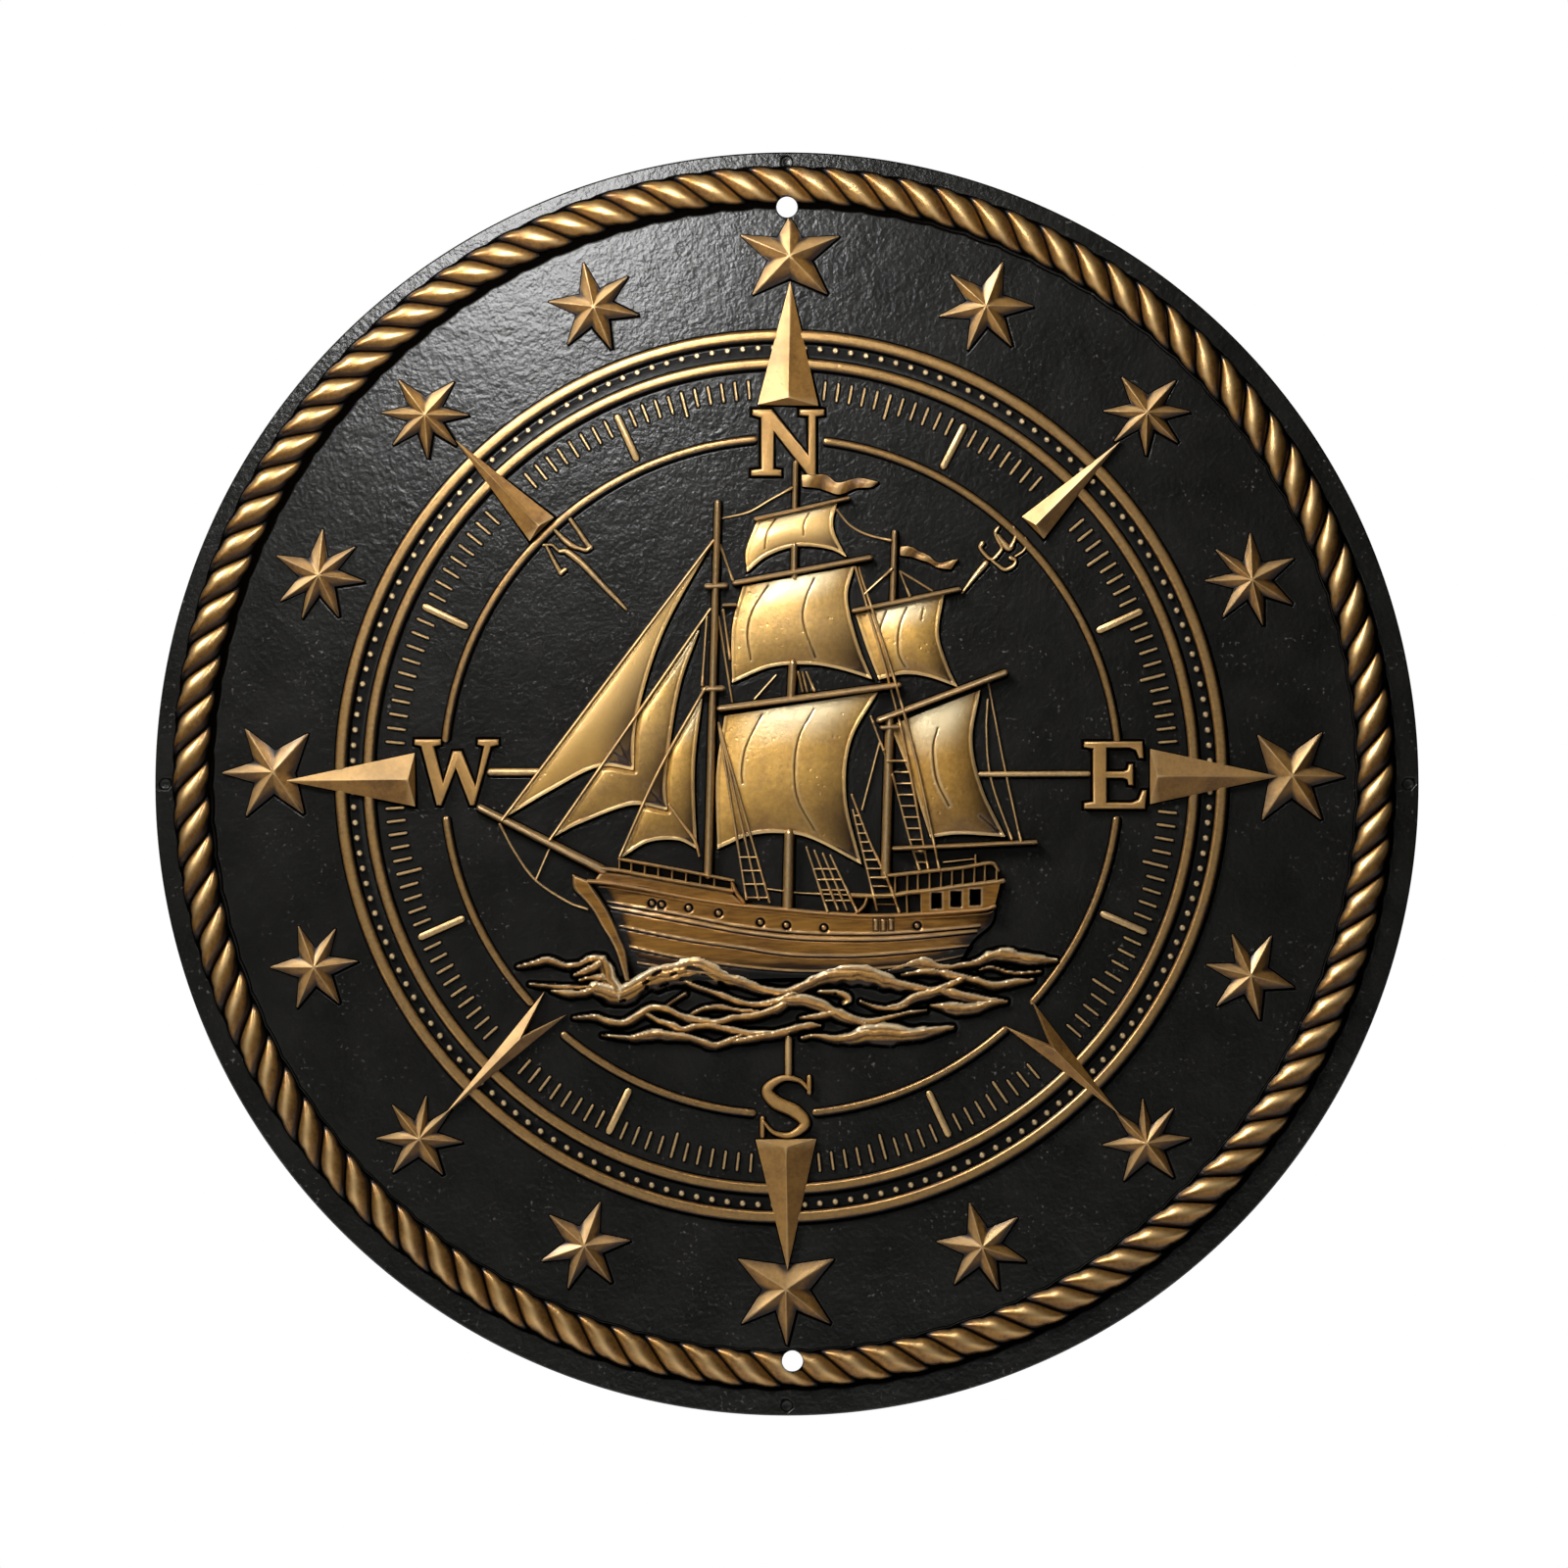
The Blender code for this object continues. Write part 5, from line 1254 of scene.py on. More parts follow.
hull = {
    "edges": {
        "head": ((-46.5, -22.6), (-28.4, -25.1), (-9.8, -28.6), (9.0, -30.7), (27.7, -31.0), (49.6, -28.3)),
        "right": ((48.5, -33.0), (44.2, -37.0)),
        "foot": ((-37.6, -46.0), (-20.0, -46.5), (0.0, -46.0), (20.0, -45.5), (40.7, -42.5)),
        "left": ((-41.5, -31.0),),
    },
    "rise": 2.75,
    "endShare": 0.35,
    "fullest": 0.2,
    "turn": 1.5,
    "cell": 0.24,
    "size": (96, 20),  # mm, length and height of the side, for its cells
    # plank edges: raised upper lip with painted highlight, and groove beneath with painted shade
    "planks": (
        (
            (-42.8, -28.2), (-24.0, -31.5), (-10.9, -34.0), (2.1, -35.4), (15.1, -35.8), (27.5, -35.5),
            (46.0, -33.9),
        ),
        (
            (-42.0, -29.6), (-24.0, -32.9), (-10.9, -35.3), (2.1, -36.8), (15.1, -37.2), (27.5, -36.9),
            (45.2, -35.2),
        ),
        (
            (-39.8, -34.0), (-24.0, -37.1), (-10.9, -39.0), (-1.2, -40.5), (8.6, -41.0), (21.6, -40.7),
            (43.5, -38.6),
        ),
        (
            (-37.4, -38.9), (-25.4, -41.4), (-12.0, -43.4), (2.0, -44.6), (16.0, -44.4), (30.0, -43.2),
            (42.0, -41.0),
        ),
        ((-35.6, -42.7), (-24.0, -44.6), (-12.0, -45.9)),
    ),
    "portholes": (
        (-29.7, -28.6), (-23.3, -29.4), (-16.2, -30.6), (-6.3, -32.8), (-0.1, -33.5), (8.8, -34.1),
        (30.9, -33.6), (-32.0, -28.3),
    ),
    "plates": ((21.1, -33.4), (22.9, -33.4), (24.7, -33.3)),
    "stem": {
        "head": ((-50.9, -21.4), (-47.2, -22.9)),
        "right": ((-44.7, -26.5), (-42.8, -29.5), (-41.1, -32.8), (-39.5, -36.7), (-38.2, -40.0)),
        "foot": ((-38.4, -46.8), (-37.3, -46.8)),
        "left": (
            (-50.6, -24.8), (-48.3, -27.3), (-46.1, -30.0), (-43.9, -33.9), (-42.0, -36.9), (-40.3, -40.5),
        ),
    },
    "gunwale": (
        (-47.0, -23.1), (-42.0, -23.6), (-34.3, -24.9), (-26.7, -26.4), (-19.1, -27.7), (-11.5, -28.8),
        (-3.9, -29.5), (6.3, -30.5), (15.0, -31.1), (23.6, -31.3), (34.6, -30.7), (46.1, -29.8),
        (49.2, -29.0),
    ),
    "forecastle": {
        "head": ((-44.0, -20.6), (-34.3, -22.0), (-21.1, -24.4), (-13.3, -25.6)),
        "foot": ((-45.6, -22.9), (-34.3, -24.6), (-19.1, -27.4), (-10.4, -28.6)),
    },
    "bulwark": {
        "head": ((31.9, -25.4), (40.6, -24.5), (50.6, -23.4)),
        "foot": ((32.1, -30.6), (40.0, -30.2), (49.2, -29.2)),
    },
    # openings in the bulwark, dark with painted shade: middle x and z, half width, half height
    "windows": ((35.5, -27.7, 1.15, 1.8), (40.1, -27.3, 1.2, 1.8), (44.7, -26.9, 1.2, 1.8)),
    "bulwarkRise": 2.35,
    "bulwarkCells": (80, 26),
    "windowDepth": 2.0,
    "groove": (0.28, 0.18, 0.24),  # depth, distance below its line, half width
    "lip": (0.2, 0.35, 0.30),
    "porthole": (0.45, 0.85, 0.34),  # depth, radius and half width of its ring
    "plate": (0.35, 0.25, 1.1),  # rise, half width, half height
    "grain": 0.10,
    "knees": (
        ((-13.0, -23.4), (-11.9, -26.0), (-10.2, -28.2)), ((19.0, -27.0), (18.3, -29.0), (16.4, -30.8)),
    ),
}


def boxDistance(flat, x, z, halfWide, halfHigh):
    # distance outside an upright box, negative inside it
    return np.maximum(np.abs(flat[..., 0] - x) - halfWide, np.abs(flat[..., 1] - z) - halfHigh)


def bulwarkBody():
    # a board between the middle rail and the gunwale, with window openings sunk into it, dark with painted
    # shade, and a painted highlight round their rims
    flat, u, v = patchGrid(hull["bulwark"], *hull["bulwarkCells"])
    height = hull["bulwarkRise"] + 0.06 * softNoise(flat[..., 0], flat[..., 1], 0.9, 19)
    shadeAndDirt = 0.1 + 0 * u * v
    rubAndHighlight = 0 * u * v
    for x, z, halfWide, halfHigh in hull["windows"]:
        away = boxDistance(flat, x, z, halfWide, halfHigh)
        well = smoothStep(away, 0.18, -0.18)
        height = height - hull["windowDepth"] * well
        shadeAndDirt = np.maximum(shadeAndDirt, well)
        rubAndHighlight = np.maximum(rubAndHighlight, 0.6 * np.exp(-(((away - 0.35) / 0.2) ** 2)))
    return puffed(flat, height, shadeAndDirt, rubAndHighlight)


def hullBodies():
    # the CAD's own side, rise * (share + (1 - share) * ends * cosine of the turn), with plank lines added
    edges = hull["edges"]
    flat, u, v = patchGrid(edges, *(int(size / hull["cell"]) for size in hull["size"]))
    ends = 1 - (2 * u - 1) ** 6
    side = np.cos(hull["turn"] * (v - hull["fullest"]))
    height = hull["rise"] * (hull["endShare"] + (1 - hull["endShare"]) * ends * side)
    # painted shade towards the bottom and at both ends, most at the bow
    shadeAndDirt = 0.12 + 0.5 * smoothStep(v, 0.6, 1.0) + 0.4 * smoothStep(u, 0.05, 0.0)
    shadeAndDirt = shadeAndDirt + 0.15 * smoothStep(u, 0.9, 1.0)
    rubAndHighlight = 0 * u + 0 * v
    grooveDepth, grooveDrop, grooveWidth = hull["groove"]
    lipRise, lipLift, lipWidth = hull["lip"]
    for line in hull["planks"]:
        line = smoothLine(line, 10)
        above = flat[..., 1] - np.interp(flat[..., 0], line[:, 0], line[:, 1])
        within = (flat[..., 0] > line[0, 0]) & (flat[..., 0] < line[-1, 0])
        # painted shade in each plank's groove, painted highlight on its lip
        groove = np.exp(-(((above + grooveDrop) / grooveWidth) ** 2)) * within
        lip = np.exp(-(((above - lipLift) / lipWidth) ** 2)) * within
        height = height - grooveDepth * groove + lipRise * lip
        shadeAndDirt = np.maximum(shadeAndDirt * (1 - 0.8 * lip), 0.85 * groove)
        rubAndHighlight = np.maximum(rubAndHighlight, 0.5 * lip)
    depth, radius, width = hull["porthole"]
    for x, z in hull["portholes"]:
        # painted shade in each porthole's ring, painted highlight on its boss
        away = np.hypot(flat[..., 0] - x, flat[..., 1] - z)
        groove = np.exp(-(((away - radius) / width) ** 2))
        boss = smoothStep(away, 0.42, 0.15)
        height = height - depth * groove - 0.1 * boss
        shadeAndDirt = np.maximum(shadeAndDirt, groove)
        rubAndHighlight = np.maximum(rubAndHighlight * (1 - groove), 0.6 * boss)
    rise, halfWide, halfHigh = hull["plate"]
    for x, z in hull["plates"]:
        # painted shade in a ring round each plate, painted highlight on it
        away = boxDistance(flat, x, z, halfWide, halfHigh)
        height = height + rise * smoothStep(away, 0.25, -0.1)
        shadeAndDirt = np.maximum(shadeAndDirt, 0.8 * np.exp(-(((away - 0.4) / 0.2) ** 2)))
        rubAndHighlight = np.maximum(rubAndHighlight, 0.7 * smoothStep(away, 0.1, -0.1))
    grain = softNoise(flat[..., 0] * 0.12, flat[..., 1], 0.6, 31) - 0.5
    height = height + hull["grain"] * grain
    shadeAndDirt = shadeAndDirt + 0.25 * np.maximum(0, softNoise(flat[..., 0] * 0.08, flat[..., 1], 0.45, 32) - 0.6)
    gunwale = smoothLine(hull["gunwale"], 8)
    bodies = [
        shadowGroundOf(outlineOf(edges), 1.0), puffed(flat, height, shadeAndDirt, rubAndHighlight),
        shadowGroundOf(outlineOf(hull["stem"]), 0.8), plate(hull["stem"], 2.5, 0.4),
        plate(hull["forecastle"], 1.9, 0.5, 0.2), shadowGroundOf(outlineOf(hull["bulwark"]), 0.7), bulwarkBody(),
        sweep(gunwale, 0.62, 3.1, crossSection("round", 0, 9)),
        sweep(gunwale[4:-2] + (0.2, -1.05), 0.22, 2.85, crossSection("round", 0, 5)),
    ]
    bodies += [sweep(smoothLine(knee, 6), 0.5, 2.6, crossSection("round", 0.4, 7)) for knee in hull["knees"]]
    return bodies


spars = {
    # foot, top, half width at each, rise
    "masts": (
        ((-18.7, -21.5), (-16.4, 66.6), 1.1, 0.85, 2.5),
        ((0.2, -29.6), (0.55, -11.8), 1.35, 1.25, 2.5),
        ((1.0, 20.5), (1.4, 28.6), 1.1, 1.1, 2.5),
        ((1.7, 49.5), (1.8, 56.6), 0.9, 0.9, 2.4),
        ((1.9, 65.2), (2.1, 76.1), 0.8, 0.75, 2.4),
        ((23.4, -21.5), (24.4, 15.4), 1.25, 1.15, 2.5),
        ((25.1, 43.2), (25.6, 59.6), 0.85, 0.75, 2.4),
    ),
    "bands": (
        ((-18.9, 46.9), (-14.7, 47.1), 0.8), ((-19.6, 22.5), (-15.4, 22.7), 0.8),
        ((-14.9, 42.4), (-12.3, 42.5), 0.5), ((22.7, 13.4), (26.3, 13.6), 0.7),
    ),
    "yards": (
        ((-7.4, 62.9), (14.6, 67.8), 0.55), ((-12.3, 47.7), (19.7, 53.7), 0.7),
        ((-15.8, 17.9), (26.4, 23.5), 0.85), ((16.0, 41.1), (40.7, 46.2), 0.65),
        ((22.0, 15.2), (51.7, 26.4), 0.85), ((25.5, -15.3), (59.0, -13.8), 0.6),
    ),
    "bowsprit": ((-72.7, -5.7), (-43.8, -20.4), 0.95, 1.25),
    "railHalfWidths": (0.45, 0.55, 0.5, 0.62),
    "rails": (
        ((-39.7, -17.8), (-34.3, -18.8), (-27.2, -20.1), (-21.1, -21.3), (-12.8, -22.9)),
        ((-44.0, -20.1), (-39.4, -20.6), (-34.3, -21.6), (-26.7, -23.0), (-21.1, -24.0), (-13.0, -25.4)),
        ((23.6, -21.8), (33.8, -20.7), (41.4, -19.9), (46.9, -18.9), (49.0, -18.9), (50.1, -20.3)),
        (
            (15.2, -26.4), (21.1, -26.6), (25.3, -26.4), (28.7, -25.8), (34.6, -25.2), (40.6, -24.3),
            (44.8, -23.8), (51.3, -23.0),
        ),
    ),
    # posts: their x places, and the numbers of the rails above and below them
    "posts": (
        ((-39.7, -36.9, -33.7, -30.5, -27.2, -23.9, -20.5, -17.2, -13.0), 0, 1),
        ((25.7, 28.6, 31.1, 33.9, 36.6, 39.2, 41.8, 44.5, 47.0, 49.8), 2, 3),
    ),
    "singlePosts": (
        ((44.8, -17.0), (44.8, -19.2)), ((28.4, -26.2), (28.6, -30.6)), ((31.9, -25.8), (32.0, -30.4)),
    ),
    "farRails": (
        ((-4.7, -24.9), (-1.9, -25.3), (2.1, -25.8), (7.2, -26.1), (15.1, -26.4)),
        ((37.2, -18.6), (44.4, -17.8)),
    ),
}


def sparBodies():
    # round bars whose half width runs evenly from one end's to the other's
    section = crossSection("round", 0.75, 11)
    bare = crossSection("round", 0, 11)
    bodies = []
    for foot, top, low, high, rise in spars["masts"]:
        path = np.linspace(foot, top, 12)
        bodies.append(sweep(path, np.linspace(low, high, 12), rise, section))
    for start, end, half in spars["bands"]:
        bodies.append(sweep(np.array((start, end)), half, 2.85, bare))
    for start, end, half in spars["yards"]:
        bodies.append(sweep(np.linspace(start, end, 12), half, 3.15, section))
    tip, heel, narrow, wide = spars["bowsprit"]
    bodies.append(sweep(np.linspace(tip, heel, 12), np.linspace(narrow, wide, 12), 2.6, section))
    return bodies


def railBodies():
    # rails along their lines, and posts from the rail above to the rail below at each listed x
    section = crossSection("round", 0.4, 7)
    lines = [smoothLine(line, 8) for line in spars["rails"]]
    bodies = [sweep(line, half, 2.75, section) for line, half in zip(lines, spars["railHalfWidths"])]
    bodies += [sweep(smoothLine(line, 6), 0.3, 0.6, section) for line in spars["farRails"]]
    ends = list(spars["singlePosts"])
    for places, top, low in spars["posts"]:
        on = lambda number, x: np.interp(x, lines[number][:, 0], lines[number][:, 1])
        ends += [((x, on(top, x)), (x, on(low, x))) for x in places]
    bodies += [sweep(np.array(pair), 0.34, 2.3, crossSection("round", 0.3, 5)) for pair in ends]
    return bodies


rigging = {
    "half": 0.36,
    "rise": 0.72,
    "lines": (
        ((-17.4, 57.8), (-67.6, -8.6)), ((-18.2, 41.5), (-56.2, -13.2)),
        ((-19.5, 22.6), (-30.4, 3.2), (-39.6, -17.1)),
        ((-68.1, -9.6), (-64.5, -16.3), (-59.6, -22.9), (-52.0, -28.0), (-47.4, -29.7)),
        ((-56.4, -15.5), (-59.6, -22.9)), ((47.9, 23.7), (51.5, 5.0), (55.5, -13.4)),
        ((47.7, 20.0), (47.4, 12.2), (48.5, 1.1), (53.3, -13.0)),
        ((-15.1, 63.1), (-9.1, 64.5), (-3.8, 67.5), (1.1, 70.2)),
        ((12.0, 65.0), (14.8, 61.6), (18.7, 59.3), (24.5, 57.8)), ((24.9, 51.0), (18.4, 45.1)),
        ((26.9, 50.5), (34.4, 45.9)), ((26.9, 50.3), (29.1, 44.7)), ((-15.8, 56.7), (-12.9, 48.5)),
        ((-16.2, 39.6), (-13.0, 19.6)), ((-15.1, 41.2), (-13.5, 29.8)), ((-19.0, 39.6), (-20.1, 23.5)),
        ((-2.6, 25.8), (-7.6, 20.2)), ((2.7, 26.5), (3.7, 22.1)), ((3.7, 26.5), (4.8, 22.1)),
        ((4.7, 26.5), (6.5, 22.2)), ((-27.9, -4.9), (-24.7, -9.5), (-21.9, -13.4), (-20.8, -17.0)),
        ((-16.2, 14.4), (-6.7, -27.3)), ((6.6, -15.9), (12.1, -29.8)), ((8.6, -16.6), (14.2, -29.8)),
        ((17.0, 51.4), (25.4, 25.2), (30.9, 4.7), (36.1, -19.9)), ((22.1, 10.0), (17.9, -6.0)),
    ),
    # a ladder's two outer lines, then the highest and lowest rung and their number
    "ladders": (
        (((-16.2, 14.4), (-9.6, -27.3)), ((-16.2, 14.4), (-4.1, -28.0)), -17.4, -27.0, 4),
        (((4.7, -15.1), (9.6, -30.2)), ((10.4, -17.0), (16.6, -30.2)), -20.2, -27.7, 4),
        (
            ((15.7, -6.3), (21.4, -29.9)), ((15.4, -2.6), (19.7, -13.8), (23.9, -22.8), (26.6, -30.3)),
            -7.5, -28.5, 11,
        ),
        (
            ((20.0, 15.9), (22.1, 10.2), (25.0, 2.2), (29.1, -12.8), (31.4, -20.2)),
            ((16.3, 51.4), (24.0, 25.2), (28.4, 7.0), (33.5, -19.9)), 5.5, -18.6, 10,
        ),
    ),
    "rung": (0.28, 0.6, 0.15),  # half width, rise, lift above the outer lines
    "step": 0.7,
    "highest": 3.2,
}


def ropeOver(line, half, rise, lift=0.0):
    # a thin rope laid over whatever stands beneath it
    line = smoothLine(line, 8) if len(line) > 2 else line
    path = evenly(line, max(1, int(round(lengthAlong(line)[-1] / rigging["step"]))))
    ground = np.minimum(groundUnder(path) + lift, rigging["highest"] - rise)
    return sweep(path, half, rise, crossSection("round", 0, 7), ground=np.maximum(ground, 0))


def riggingBodies():
    # single ropes and the ladders' outer lines, then rungs between these at even heights
    outer = [side for ladder in rigging["ladders"] for side in ladder[:2]]
    bodies = [ropeOver(line, rigging["half"], rigging["rise"]) for line in (*rigging["lines"], *outer)]
    for left, right, top, low, count in rigging["ladders"]:
        sides = [np.array(side) for side in (left, right)]
        for z in np.linspace(top, low, count):
            ends = [(np.interp(-z, -side[:, 1], side[:, 0]), z) for side in sides]
            bodies.append(ropeOver(ends, *rigging["rung"]))
    return bodies


pennants = {
    "main": {
        "head": (
            (3.5, 73.3), (6.6, 73.4), (9.3, 73.4), (12.0, 71.5), (16.1, 72.5), (18.1, 72.5), (21.6, 71.7),
        ),
        "foot": (
            (3.7, 70.6), (7.9, 70.1), (11.7, 68.8), (13.8, 69.1), (16.4, 70.2), (20.0, 70.5), (21.6, 71.5),
        ),
    },
    "mizzen": {
        "head": (
            (26.9, 56.3), (29.3, 56.3), (31.7, 55.1), (33.7, 54.1), (35.4, 52.7), (37.8, 52.7),
            (40.6, 53.4),
        ),
        "foot": (
            (26.9, 54.3), (29.6, 53.9), (31.7, 53.2), (33.4, 52.7), (35.1, 51.7), (36.8, 51.2),
            (38.9, 51.0),
        ),
    },
}


pennantCells = (60, 12)


def pennantBodies():
    # a strip that swells and dips along its length, with painted shade in the dips and painted highlight on
    # the swells and along its head
    bodies = []
    for edges in pennants.values():
        flat, u, v = patchGrid(edges, *pennantCells)
        fold = np.sin(u * 2.4 * math.tau + v * 1.4)
        height = 1.15 + 0.25 * fold + 0.2 * np.sin(math.pi * v)
        shadeAndDirt = 0.28 * smoothStep(fold, -0.2, -1)
        rubAndHighlight = 0.5 * smoothStep(fold, 0.4, 1) + 0.4 * smoothStep(v, 0.2, 0)
        bodies += [shadowGroundOf(outlineOf(edges), 0.8), puffed(flat, height, shadeAndDirt, rubAndHighlight)]
    return bodies


# Waves: one field whose height is the greatest of many ribbons, each with a crest near its upper edge,
# painted highlight along the crest and painted shade below it

